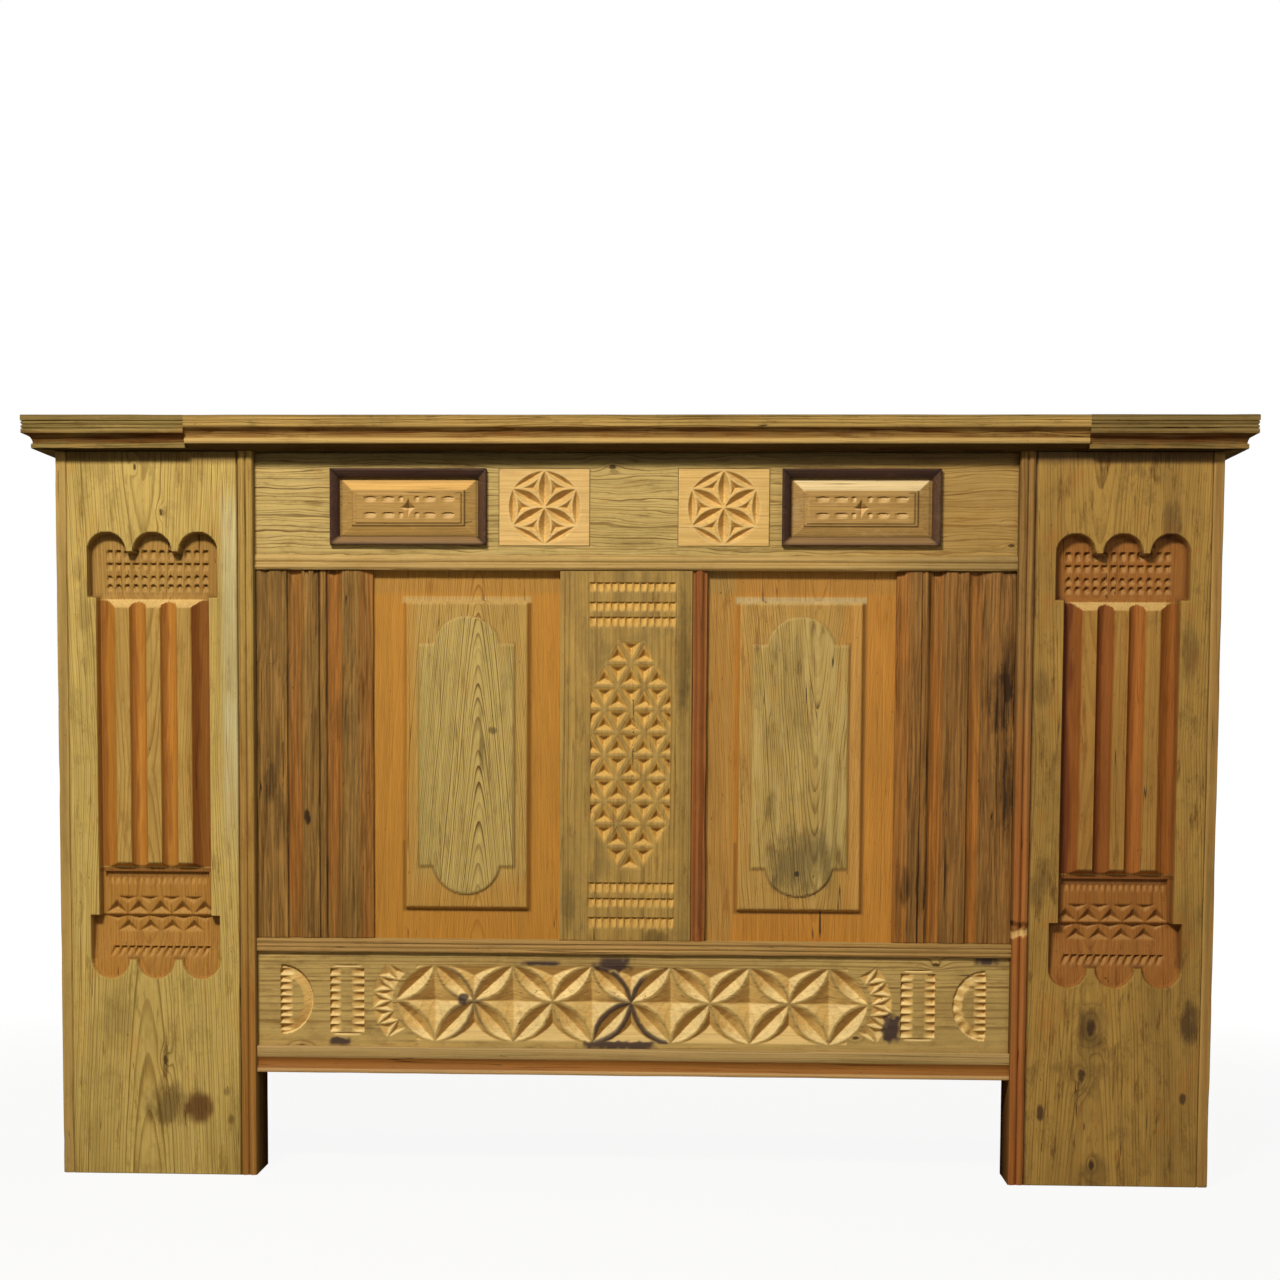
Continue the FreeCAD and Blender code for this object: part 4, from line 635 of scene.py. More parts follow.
# Burns as x, z, half width and half height.
BURNS = (
    (-0.0155, 0.190, 0.048, 0.0064), (-0.0245, 0.306, 0.024, 0.0100), (-0.128, 0.3075, 0.024, 0.0030),
    (-0.418, 0.192, 0.014, 0.006), (0.368, 0.220, 0.012, 0.018), (-0.240, 0.255, 0.007, 0.008),
    (0.502, 0.318, 0.016, 0.006),
)
base_wood = pine(
    "base rail pine", "x", "bd9f5e", "7a5a2c", ring=0.0042, pith=(0.20, -0.12), contrast=0.75, mottled=0.6,
    patina="85693a", cut="d8b066", heart_and_shade="8a5a20", pale="f2d898", edge="a88c54", grime_and_shade="33232a", seed=7,
    dirt=0.7, streaks=0.4, knots=((-0.472, 0.185, 0.006), (0.43, 0.31, 0.006), (0.318, 0.205, 0.005)),
)
cap_low, cap_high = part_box("base_cap_moulding")
bay_left, bay_right = cap_low.x, cap_high.x
low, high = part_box("base_rail")
x, z = np.meshgrid(
    board_lines(bay_left, bay_right, 0.0013),
    board_lines(low.z, high.z, 0.009, (PETAL_LEVEL - 0.062, PETAL_LEVEL + 0.056, 0.0013)),
)
aside, rise = np.abs(x), z - PETAL_LEVEL
upper_half, left_half = rise > 0, x < 0
v = np.abs(rise) * np.where(upper_half, 1, PETAL_RISE / PETAL_FALL)
fold = np.abs((x + PETAL_HALF) % (2 * PETAL_HALF) - PETAL_HALF)
length = math.hypot(PETAL_HALF, PETAL_RISE)
way = (fold * PETAL_HALF + v * PETAL_RISE) / length ** 2
leaf = np.abs(fold * PETAL_RISE - v * PETAL_HALF) / length - PETAL_WIDTH * 2 * way * (1 - way)
leaf = leaf + 0.0005 * mottle(x / 0.007, z / 0.007, 40)
band = (aside < PETAL_REACH) & (v < PETAL_RISE)
between = leaf - 0.0011
lower = np.minimum(0.9 * between, 0.34 * (PETAL_RISE - v))
upper = np.minimum(0.5 * between, 0.42 * (PETAL_RISE - v))
diamond = fold / PETAL_HALF > v / PETAL_RISE
star = np.where(diamond, 0.45 * between, np.where(upper_half, upper, lower))
star = star * (aside < PETAL_REACH - np.where(diamond, 0, 0.03))
chips = np.where(band, np.maximum(0.72 * np.maximum(-leaf - 0.0006, 0), np.maximum(star, 0)), 0)
around, turn = np.hypot(aside - FLAME_X, rise), np.arctan2(rise, aside - FLAME_X)
for flame in FLAMES:
    chips = chips + wedges(turn, around, *flame)
for deep_end, run_out in ((LADDER_OUTER, 0.4125), (LADDER_INNER, 0.4005)):
    chips = chips + gouges(rise, aside, -LADDER_HALF, LADDER_HALF, 8, deep_end, run_out, 0.0055)
for head in (0.0505, -0.047):
    chips = chips + gouges(aside, rise, LADDER_INNER, LADDER_OUTER, 1, head, head - 0.004, 0.003)
bow = np.hypot((MOON_SIDE - aside) / MOON_WIDE, rise / MOON_HIGH)
turn = np.arctan2(rise, MOON_SIDE - aside)
toothed = np.where(x > 0, 0.75 + 0.25 * np.cos(turn * 17), 1)
crescent = 0.016 * np.clip(bow - 0.66, 0, 1) * toothed * smooth(1.0, 0.97, bow)
chips = chips + np.where(aside < MOON_SIDE, crescent, 0)
chips = chips + gouges(rise, aside, -MOON_CUTS, MOON_CUTS, 9, MOON_SIDE + 0.0005, 0.482, 0.006)
rounding, rim = arris(x, z, 0.0015)
charred = np.select(
    [~left_half & diamond, left_half & upper_half & diamond, ~left_half & upper_half],
    [0, 0.6 * smooth(0.036, 0.020, -x), smooth(0.026, 0.012, x)], 1)
burn = 0.85 * band * smooth(0.0056, 0.0020, np.abs(leaf)) * smooth(0.056, 0.050, aside) * charred
burn = burn * smooth(-0.9, -0.6, mottle(x / 0.015, z / 0.015, 48))
burn = burn + 0.45 * band * smooth(0.0045, 0.0008, np.abs(leaf)) * smooth(0.035, 0.015, np.abs(x + 0.235))
for spot_x, spot_z, wide, tall in BURNS:
    far = (((x - spot_x) / wide) ** 4 + ((z - spot_z) / tall) ** 4) ** 0.25
    far = far + 0.3 * mottle(x / 0.006, z / 0.006, 41)
    burn = np.maximum(burn, 0.9 * smooth(1.3, 0.75, far))
depth = chips + rounding + 0.0002 * (1 + mottle(x / 0.2, z / 0.02, 42))
fresh = smooth(0.0002, 0.0010, chips)
shaded_facets, lit = facets(x, z, chips)
marks = {
    "cut": fresh * 0.95,
    # Painted shade on chip facets facing away from the light, painted highlight on those facing it.
    "heart_and_shade": fresh * shaded_facets * 0.65,
    "pale": fresh * lit * 0.75,
    "edge": np.maximum(rim, 0.6 * band * smooth(0.0016, 0.0004, np.abs(leaf - 0.0003))),
    "grime_and_shade": burn,
}
relief("base_rail", x, z, low.y, high.y, depth, marks, base_wood)

# Base mouldings: pine strips nailed over the rail's upper and lower edges. The cap is reeded three times;
# the foot has a flat face over a cove that is stained redder, and a pale toe.
CAP_REED = 0.0014
COVE_FOOT, COVE_HEAD, COVE_DEPTH, FOOT_EASE = 0.153, 0.171, 0.004, 0.001
cap_wood = pine("base cap pine", "x", "b08c50", "6a4824", ring=0.003, pith=(0.43, -0.15), patina="70562c",
                edge="b98d52", seed=8, dirt=0.9, streaks=0.5)
row = reed_row(cap_low.z, cap_high.z, cap_low.y + CAP_REED, cap_low.y, 3)
outline = np.concatenate([row, [(cap_high.z, cap_high.y), (cap_low.z, cap_high.y)]])
a, b, along, edge = worn_run(outline, bay_left, bay_right, 43, wear=0.0010)
tube("base_cap_moulding", [np.stack([along, b, a], -1)], {"edge": [edge]}, cap_wood)
foot_wood = pine("base foot pine", "x", "ac9156", "735228", ring=0.003, pith=(0.30, -0.15), patina="7c6536",
                 cut="96622a", pale="c89a62", edge="c3a06a", seed=9, dirt=0.8, streaks=0.45)
low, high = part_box("base_foot_moulding")
way = np.linspace(0, 1, 11)
cove = np.stack([COVE_FOOT + (COVE_HEAD - COVE_FOOT) * way, low.y + COVE_DEPTH * np.sin(np.pi * way)], -1)
outline = np.concatenate([
    [(low.z, high.y), (low.z, low.y + FOOT_EASE), (low.z + FOOT_EASE, low.y)], cove,
    [(high.z - FOOT_EASE, low.y), (high.z, low.y + FOOT_EASE), (high.z, high.y)],
])
a, b, along, edge = worn_run(outline, low.x, high.x, 44)
level, sunk = outline[:, 0], outline[:, 1] - low.y
marks = {
    "edge": [edge],
    "cut": [smooth(0.0002, 0.0012, sunk) * (level > COVE_FOOT) * (level < COVE_HEAD)],
    "pale": [(level <= COVE_FOOT) * 0.85],
}
tube("base_foot_moulding", [np.stack([along, b, a], -1)], marks, foot_wood)

# Frieze board: one wide pale pine board with shallow seats cut for the tablets and the rosettes, and a
# double bead nailed along its foot. The grain runs along it in slow waves.
BEAD_REED = 0.002
frieze_wood = pine(
    "frieze pine", "x", "c3a866", "6a4d22", ring=0.0044, pith=(1.16, -0.12), taper=(-0.7, 0.010),
    wander=0.014, contrast=0.9, cut="a07434", patina="8d763f", edge="c9af78", seed=10, streaks=0.6,
    mottled=0.6, patched=0.55, knots=((-0.03, 1.005, 0.006), (0.525, 0.897, 0.005)),
)
low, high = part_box("frieze_board")
seats = [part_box(f"{kind}_{hand}") for kind in ("frieze_tablet", "rosette_block") for hand, side in HANDS]
seat_x = [(edge - 0.0005, edge + 0.0005, 0.0005) for seat in seats for edge in (seat[0].x, seat[1].x)]
seat_z = [(edge - 0.0005, edge + 0.0005, 0.0005) for seat in seats[1:3] for edge in (seat[0].z, seat[1].z)]
x, z = np.meshgrid(
    board_lines(bay_left, bay_right, 0.006, *seat_x),
    board_lines(low.z, high.z, 0.005, *seat_z),
)
depth = 0.0002 * (1 + mottle(x / 0.2, z / 0.012, 45))
seam = np.zeros_like(x)
for seat_low, seat_high in seats:
    within = np.minimum.reduce([x - seat_low.x, seat_high.x - x, z - seat_low.z, seat_high.z - z])
    depth = np.where(within > -1e-5, seat_high.y - low.y + 0.0002, depth)
    seam = np.maximum(seam, 0.2 * smooth(-0.0010, -0.0002, within))
rounding, rim = arris(x, z, 0.001)
# Dark seams round the seats, and painted shadow along the top under the cornice.
marks = {"edge": rim, "grime_and_shade": seam + 0.6 * smooth(1.004, 1.016, z), "cut": 0.5 * smooth(0.05, 0.45, x)}
relief("frieze_board", x, z, low.y, high.y, depth + rounding, marks, frieze_wood)
bead_wood = pine("frieze bead pine", "x", "bc9b5c", "8f6e36", ring=0.004, pith=(0.87, -0.15),
                 patina="8b6b38", edge="d3b57a", seed=11, streaks=0.4)
low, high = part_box("frieze_bead")
row = reed_row(low.z, high.z, low.y + BEAD_REED, low.y, 2)
outline = np.concatenate([row, [(high.z, high.y), (low.z, high.y)]])
a, b, along, edge = worn_run(outline, low.x, high.x, 46)
marks = {"edge": [edge], "grime_and_shade": [0.3 * smooth(0.25, 0.5, along)]}
tube("frieze_bead", [np.stack([along, b, a], -1)], marks, bead_wood)

# Frieze tablets: small fielded pine tablets let into the frieze. A slope rises from a flat margin to a
# raised table that carries two rows of knife notches and a four-pointed star.
TABLET_MARGIN, TABLET_SLOPE, TABLET_STEP = 0.005, 0.018, 0.0045
TABLET_DROP, TABLET_FALL = 0.0025, 0.005
NOTCH_ROWS, NOTCH_LONG = (0.0145, -0.0078), 0.009
# Middle and half length of each notch of a row.
NOTCHES = (
    (-0.054, 0.0093), (-0.028, 0.0093), (-0.0105, 0.0035),
    (0.012, 0.0035), (0.030, 0.0090), (0.056, 0.0092),
)
tablet_wood = {
    hand: pine(f"tablet pine {hand}", "x", early, late, ring=0.0045, pith=(1.15, -0.2), contrast=0.4,
               patina="85703a", cut=cut, pale=pale, edge=edge, seed=seed, streaks=0.3)
    for hand, early, late, cut, pale, edge, seed in (
        ("left", "b08a4c", "8d682f", "d8aa5e", "e6c084", "c8a265", 12),
        ("right", "b28c50", "8f6a34", "ead09a", "eac486", "d0ac70", 13))
}
for hand, side in HANDS:
    node = f"frieze_tablet_{hand}"
    low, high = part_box(node)
    x, z = np.meshgrid(board_lines(low.x, high.x, 0.0011), board_lines(low.z, high.z, 0.0009))
    u, v = x - (low.x + high.x) / 2, z - (low.z + high.z) / 2
    rim = np.minimum.reduce([x - low.x, high.x - x, (z - low.z) * 1.25, (high.z - z) * 1.1])
    slope = np.clip((rim - TABLET_MARGIN) / TABLET_SLOPE, 0, 1)
    ledge = rim - TABLET_MARGIN - TABLET_SLOPE
    table = 0.4 * smooth(-0.0004, 0.0004, ledge) + 0.6 * smooth(-0.0005, 0.0005, ledge - TABLET_STEP)
    depth = TABLET_DROP + TABLET_FALL - TABLET_FALL * slope - TABLET_DROP * table
    notches = np.zeros_like(x)
    for row in NOTCH_ROWS:
        for place, half in NOTCHES:
            ends = place - half, place + half
            notches = notches + gouges(u, v, *ends, 1, row, row - NOTCH_LONG, 0.0032, 0.5, 0.1)
    star = (np.abs(u) / 0.0120) ** 0.72 + (np.abs(v + 0.001) / 0.0145) ** 0.72
    notches = np.where(star < 1, 0.0085 * (1 - star), notches)
    shaded_facets, lit = facets(x, z, notches)
    side_slope = smooth(0.0, 0.1, slope) * smooth(1.0, 0.97, slope)
    upper = np.abs(v) - np.abs(u) + (high.x - low.x - high.z + low.z) / 2 > 0
    # Strength of the painted shadow lines below the table's steps: strong on the lower and right sides.
    shaded = 0.1 + 0.65 * (v < u * 0.3)
    marks = {
        # Painted highlight: only the top slope takes the pale cut tone; lit notch sides are pale too.
        "cut": 0.9 * side_slope * upper * (v > 0),
        "pale": 0.8 * smooth(0.0002, 0.0006, notches) * lit,
        "edge": 0.5 * bell(ledge - TABLET_STEP, 0.001),
        # Painted shadow below the steps and on shaded notch sides; a dark line at the margin, darker side
        # slopes.
        "grime_and_shade": 0.4 * smooth(0.0035, 0.0, np.abs(rim - TABLET_MARGIN)) + 0.12 * side_slope * (1 - upper)
        + shaded * (bell(ledge + 0.0009, 0.0012) + bell(ledge - TABLET_STEP + 0.0010, 0.0011))
        + 0.5 * shaded_facets * smooth(0.0002, 0.001, notches),
    }
    relief(node, x, z, low.y, high.y, depth + notches, marks, tablet_wood[hand])

# Tablet frames: four bars of dark walnut round each tablet, mitred and pinned over its edge. A bar is flat
# outside and slopes down to the tablet from its middle.
FRAME_BAR, FRAME_LIP = 0.0122, 0.003
walnut = pine("dark walnut", "x", "4e3226", "2c1a10", ring=0.003, pith=(0.95, -0.1), patina="4a3a2a",
              cut="5b432c", pale="a88656", edge="8a6a49", grime_and_shade="120b07", seed=14, streaks=0.5, rough=0.42)
for hand, side in HANDS:
    node = f"frieze_frame_{hand}"
    low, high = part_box(node)
    section = np.array([
        (0, high.y), (0, low.y + 0.0008), (0.0008, low.y), (0.0026, low.y), (0.0036, low.y + 0.0004),
        (0.0074, low.y + 0.0030), (FRAME_BAR - 0.0010, high.y - FRAME_LIP), (FRAME_BAR, high.y),
    ])
    half = np.array(((high.x - low.x) / 2, (high.z - low.z) / 2))
    corner = np.array(((-1, -1), (1, -1), (1, 1), (-1, 1)))
    way = np.concatenate([np.linspace(i, i + 1, 40, endpoint=False) for i in range(4)])[:, None]
    here = way.astype(int)
    share = way - here
    reach = half - section[:, :1]
    spot = corner[here[:, 0]][:, None] * reach * (1 - share[..., None])
    spot = spot + corner[(here[:, 0] + 1) % 4][:, None] * reach * share[..., None]
    rings = np.stack([
        spot[..., 0] + (low.x + high.x) / 2,
        np.broadcast_to(section[:, 1], spot.shape[:2]),
        spot[..., 1] + (low.z + high.z) / 2,
    ], -1)
    mitre = 0.6 * smooth(0.03, 0.0, np.minimum(share, 1 - share))
    marks = {
        "edge": [np.array([0, 0.6, 0.6, 0.2, 0.6, 0.1, 0.5, 0]) * (here == 0)],
        # Dark mitre joints, and painted shade on the top and left bars, a little on the right one.
        "grime_and_shade": [mitre + np.array((0, 0.1, 0.3, 0.3))[here]],
        # A painted sheen on the bottom bar's slope, a faint one on the right bar.
        "pale": [np.array((0.6, 0.1, 0, 0))[here] * np.array((0, 0.2, 0.4, 0.4, 1, 1, 1, 0))],
    }
    tube(node, [rings], marks, walnut, closed=True)

# Rosettes: two blocks of newer, pale pine let into the frieze and chip-carved with compasses and knife:
# six petals from the centre, six more from tip to tip, and three-sided pits between them.
ROSETTE_REACH, ROSETTE_PETAL, ROSETTE_LINK = 0.0515, 0.0180, 0.0125
rosette_wood = {
    hand: pine(f"rosette pine {hand}", "x", early, late, ring=ring, pith=(pith, -0.16), wander=0.004,
               contrast=0.4, patina="c39a58", cut="d0a65c", heart_and_shade="8c6126", edge="e0c48a", seed=seed,
               dirt=0.3, streaks=0.3)
    for hand, early, late, ring, pith, seed in (
        ("left", "dcb672", "b88c50", 0.0060, 1.02, 15), ("right", "dcb66e", "b88a48", 0.0065, 0.86, 16))
}
for hand, side in HANDS:
    node = f"rosette_block_{hand}"
    low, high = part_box(node)
    x, z = np.meshgrid(board_lines(low.x, high.x, 0.0009), board_lines(low.z, high.z, 0.0009))
    u, v = x - (low.x + high.x) / 2, z - (low.z + high.z) / 2
    far, turn = np.hypot(u, v), np.degrees(np.arctan2(u, v))
    bent = np.radians(np.abs((turn + 30) % 60 - 30))
    p, q = far * np.cos(bent), far * np.sin(bent)
    way = np.clip(p / ROSETTE_REACH, 0, 1)
    petal = q - ROSETTE_PETAL * 2 * way * (1 - way)
    outside = p * math.cos(math.pi / 6) + q * math.sin(math.pi / 6) - ROSETTE_REACH * math.cos(math.pi / 6)
    way = np.clip(((ROSETTE_REACH - p) * 0.5 + q * math.sin(math.pi / 3)) / ROSETTE_REACH, 0, 0.5)
    link = np.abs(outside) - ROSETTE_LINK * 2 * way * (1 - way)
    leaves = 0.95 * np.maximum(np.maximum(-petal, -link) - 0.0006, 0)
    pits = 0.95 * np.where(outside < 0, np.maximum(np.minimum(petal, link) - 0.0010, 0), 0)
    rounding, rim = arris(x, z, 0.001)
    chips = np.maximum(leaves, pits)
    ridge = smooth(0.0013, 0.0004, np.abs(np.minimum(petal, link) - 0.0002)) * (far < ROSETTE_REACH + 0.004)
    fresh = smooth(0.0002, 0.001, chips)
    shaded_facets, lit = facets(x, z, chips)
    # Painted shade on facets facing away from the light and deep in the pits; painted highlight on facets
    # facing it.
    marks = {"cut": fresh * 0.8, "heart_and_shade": fresh * shaded_facets * 0.62, "pale": fresh * lit * 0.55,
             "edge": np.maximum(rim * 0.5, ridge * 0.8), "grime_and_shade": 0.2 * smooth(0.0045, 0.0075, pits)}
    depth = chips + rounding + 0.00012 * (1 + mottle(x / 0.05, z / 0.006, 47))
    relief(node, x, z, low.y, high.y, depth, marks, rosette_wood[hand])

# Fluted stiles: two weathered beams from an older building, with two flutes, a bead and a bevelled inner
# edge run down them with planes. Rain has worn the soft wood away, and checks have opened along the grain.
FLUTES = {"left": ((0.468, 0.490), (0.411, 0.434)), "right": ((0.469, 0.487), (0.414, 0.434))}
STILE_FLUTE_DEPTH = 0.006
BEAD, BEAD_HALF, BEAD_SINK, BEAD_RISE = {"left": 0.4392, "right": 0.4085}, 0.0048, 0.0035, 0.0027
STILE_BEVEL, BEVEL_WIDE, BEVEL_DEPTH = 0.386, 0.014, 0.006
field_foot, field_head = cap_high.z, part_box("frieze_bead")[0].z
stile_wood = {
    hand: pine(f"weathered pine {hand}", "z", early, late, ring=0.0045, pith=(pith, -0.15), wander=0.014,
               contrast=0.5, patina=patina, patched=0.6, cut=cut, heart_and_shade="7a3a14", edge=edge, seed=seed,
               dirt=0.9, streaks=0.6, weather=weather, mottled=0.5, stains=stains)
    for hand, early, late, pith, patina, cut, edge, seed, weather, stains in (
        ("left", "9a7238", "5c3f1e", -0.60, "6e5428", "a96c2c", "ad8648", 17, 0.7,
         ((0.655, -0.41, 0.04, 0.02, 0.3), (0.51, -0.50, 0.05, 0.012, 0.3), (0.56, -0.515, 0.03, 0.01, 0.4),
          (0.512, -0.462, 0.012, 0.005, 0.9))),
        ("right", "9e6f36", "5a3a1c", 0.60, "70522a", "ae6e2a", "a07a44", 18, 0.65,
         ((0.685, 0.515, 0.05, 0.020, 0.5), (0.73, 0.525, 0.05, 0.012, 0.4), (0.56, 0.525, 0.08, 0.010, 0.5),
          (0.42, 0.385, 0.03, 0.008, 0.5))))
}
for hand, side in HANDS:
    node = f"fluted_stile_{hand}"
    low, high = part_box(node)
    x, z = np.meshgrid(board_lines(low.x, high.x, 0.0011), board_lines(field_foot, field_head, 0.004))
    u = side * x
    profile = np.zeros_like(x)
    across = (u - BEAD[hand]) / BEAD_HALF
    beside = bell(np.abs(across) - 1.05, 0.16)
    for start, end in FLUTES[hand]:
        along_flute = (u - (start + end) / 2) / (end - start) * 2
        profile = np.maximum(profile, STILE_FLUTE_DEPTH * np.sqrt(np.clip(1 - along_flute ** 2, 0, 1)))
        beside = beside + bell(x - side * (start if side > 0 else end) - 0.0004, 0.0012)
    hollow = smooth(0.001, 0.005, profile)
    flat = 1 - hollow
    bead = BEAD_SINK - BEAD_RISE * np.sqrt(np.clip(1 - across ** 2, 0, 1))
    profile = np.where(np.abs(across) < 1, bead, profile)
    profile = np.maximum(profile, BEVEL_DEPTH * np.clip((STILE_BEVEL - u) / BEVEL_WIDE, 0, 1))
    worn = 0.5 + 0.5 * mottle(x / 0.0032, z / 0.07, 51 + side)
    torn = mottle(x / 0.006, z / 0.10, 56 + side) + 0.5 * mottle(x / 0.003, z / 0.03, 59 + side)
    torn = smooth(0.1, 0.8, torn) * flat
    checks = smooth(0.62, 0.9, mottle(x / 0.0042, z / 0.22, 53 + side))
    checks = checks * smooth(-0.3, 0.2, mottle(x / 0.05, z / 0.2, 54))
    ragged = smooth(0.0, 0.6, mottle(x / 0.007, z / 0.05, 55 + side))
    ragged = smooth(field_head - 0.012, field_head, z) * ragged
    rounding, rim = arris(x, z, 0.0015)
    depth = profile + 0.0010 * worn + 0.0018 * torn + 0.0026 * checks * flat + 0.003 * ragged + rounding
    orange = hollow * smooth(-0.5, 0.4, mottle(x / 0.05, z / 0.16, 60 + side))
    marks = {
        "cut": hollow * 0.35 + orange * 0.4 + 0.5 * (u < STILE_BEVEL) * flat,
        "heart_and_shade": 0.45 * orange * smooth(0.3, -0.6, (x - x.mean()) % 0.02 / 0.02),
        "edge": np.maximum(rim * 0.5, 0.5 * smooth(0.6, 0.1, worn) * flat),
        "grime_and_shade": 0.5 * checks * flat + 0.35 * ragged + 0.5 * np.clip(beside, 0, 1) + 0.15 * torn,
    }
    relief(node, x, z, low.y, high.y, depth, marks, stile_wood[hand])

# Centre stile: a pine plank between the panels, chip-carved after it was planed. Three rows of gouge cuts
# stand at each end, and a lens of three-sided chips in a close lattice fills the middle. A red bead strip
# is its right edge.
LENS_X, LENS_Z, LENS_WIDE = -0.003, 0.603, 0.056
CHIP_RISE, CHIP_RIDGE, CHIP_STEP = 0.0323, 0.0016, 0.0050
CUT_ROWS = ((0.845, 0.830), (0.818, 0.803), (0.797, 0.781), (0.423, 0.406), (0.401, 0.386), (0.373, 0.356))
STRIP_FLAT, STRIP_SINK = 0.003, 0.005
centre_wood = pine(
    "centre stile pine", "z", "ab8a48", "705228", ring=0.0045, pith=(-0.02, -0.12), contrast=0.55,
    patina="78643a", patched=0.6, mottled=0.7, cut="cb9e4e", heart_and_shade="7c5420", pale="e6bf6c", edge="b89858",
    seed=19, dirt=0.7, streaks=0.6,
    stains=((0.345, 0.035, 0.012, 0.02, 0.5), (0.74, 0.07, 0.10, 0.012, 0.4),
            (0.40, -0.09, 0.05, 0.01, 0.3)),
)
low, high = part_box("centre_stile")
x, z = np.meshgrid(
    board_lines(low.x, high.x, 0.005, (-0.066, 0.063, 0.0012)),
    board_lines(field_foot, field_head, 0.008, (0.352, 0.848, 0.0013)),
)
rows = sum(gouges(x, z, -0.062, 0.060, 12, head, foot, 0.0045, 0.46) for head, foot in CUT_ROWS)
u, v = (x - LENS_X) / CHIP_RISE, (z - LENS_Z) / CHIP_RISE
second, third = v / 2 + u * math.sqrt(0.75), v / 2 - u * math.sqrt(0.75)
whole_second, whole_third = np.floor(second), np.floor(third)
part_second, part_third = second - whole_second, third - whole_third
upper = part_second + part_third > 1
inset = np.where(upper, np.minimum.reduce([1 - part_second, 1 - part_third, part_second + part_third - 1]),
                 np.minimum.reduce([part_second, part_third, 1 - part_second - part_third]))
share = np.where(upper, 2 / 3, 1 / 3)
chip_v, chip_u = whole_second + whole_third + 2 * share, (whole_second - whole_third) / math.sqrt(3)
steps = np.clip(5 - np.floor(np.abs(chip_v)), 0, 3)
kept = (np.abs(chip_u) < 0.62 * steps) & (np.abs(x - LENS_X) < LENS_WIDE)
inset = inset * CHIP_RISE - CHIP_RIDGE / 2
lattice = np.where(kept, 0.36 * np.maximum(inset, 0) + np.maximum(inset - CHIP_STEP, 0), 0)
rounding, rim = arris(x, z, 0.0015)
chips = rows + lattice
ridge = np.where(kept, smooth(0.0008, -0.0002, inset), 0)
fresh = smooth(0.0002, 0.0012, chips)
shaded_facets, lit = facets(x, z, chips)
marks = {
    "cut": fresh * 0.85,
    # Painted shade on chip facets facing away from the light, painted highlight on those facing it.
    "heart_and_shade": fresh * shaded_facets * np.where(rows > 0, 0.3, 0.5),
    "pale": fresh * lit * 0.45,
    "edge": np.maximum(rim, ridge * 0.8),
    "grime_and_shade": 0.13 * smooth(0.062, 0.068, x),
}
depth = chips + rounding + 0.0002 * (1 + mottle(x / 0.012, z / 0.2, 56))
relief("centre_stile", x, z, low.y, high.y, depth, marks, centre_wood)
red_wood = pine("red bead pine", "z", "93582c", "5f3216", ring=0.003, pith=(0.05, -0.1), patina="5b3c22",
                edge="a56f3c", seed=20, dirt=0.8, streaks=0.5)
low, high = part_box("centre_bead")
sunk = low.y + STRIP_SINK
row = reed_row(low.x + STRIP_FLAT, high.x - STRIP_FLAT, sunk, low.y, 1, steps=14)
outline = np.concatenate([[(low.x, sunk)], row, [(high.x, sunk), (high.x, high.y), (low.x, high.y)]])
a, b, along, edge = worn_run(outline, field_foot, field_head, 57, wear=0.0010)
tube("centre_bead", [np.stack([a, b, along], -1)], {"edge": [edge]}, red_wood)

# Field panels: two pine panels held in grooves, cut from old wide boards. A pane is raised on each with a
# bevelled edge, and a shouldered lozenge on the pane; the sunk margins show the orange wood under the old
# olive surface.
PANE_HALF, PANE_FOOT, PANE_HEAD, PANE_BEVEL = 0.089, 0.382, 0.820, 0.0045
LOZENGE_HALF, LOZENGE_FOOT, LOZENGE_HEAD = 0.068, 0.443, 0.759
BOW_HALF, BOW_RISE = 0.0475, 0.039
PANE_DROP, LOZENGE_DROP = 0.008, 0.0035
panel_wood = {
    "left": pine(
        "panel pine left", "z", "bea45f", "604420", ring=0.0023, pith=(-0.220, -0.2274), taper=(2.0, 0.083),
        wander=0.0025, contrast=0.95, mottled=0.5, patina="83753f", cut="b57f32", pale="dcb36a",
        edge="c4a262", seed=21, streaks=0.3, dirt=0.7,
        stains=((0.637, -0.198, 0.006, 0.008, 0.6), (0.60, -0.214, 0.03, 0.004, 0.5)),
    ),
    "right": pine(
        "panel pine right", "z", "bc9d58", "664c26", ring=0.0030, pith=(0.255, -0.2274), taper=(-1.0, 0.08),
        wander=0.006, contrast=0.8, mottled=0.7, patina="7e6c3a", patched=0.6, cut="ba8034", pale="d2a860",
        edge="c6ac6c", seed=22, streaks=0.4, dirt=0.9, grime_and_shade="2a2420",
        stains=((0.455, 0.233, 0.05, 0.050, 0.5), (0.437, 0.233, 0.004, 0.0035, 0.95),
                (0.365, 0.267, 0.022, 0.002, 0.9), (0.70, 0.21, 0.08, 0.04, 0.10)),
    ),
}
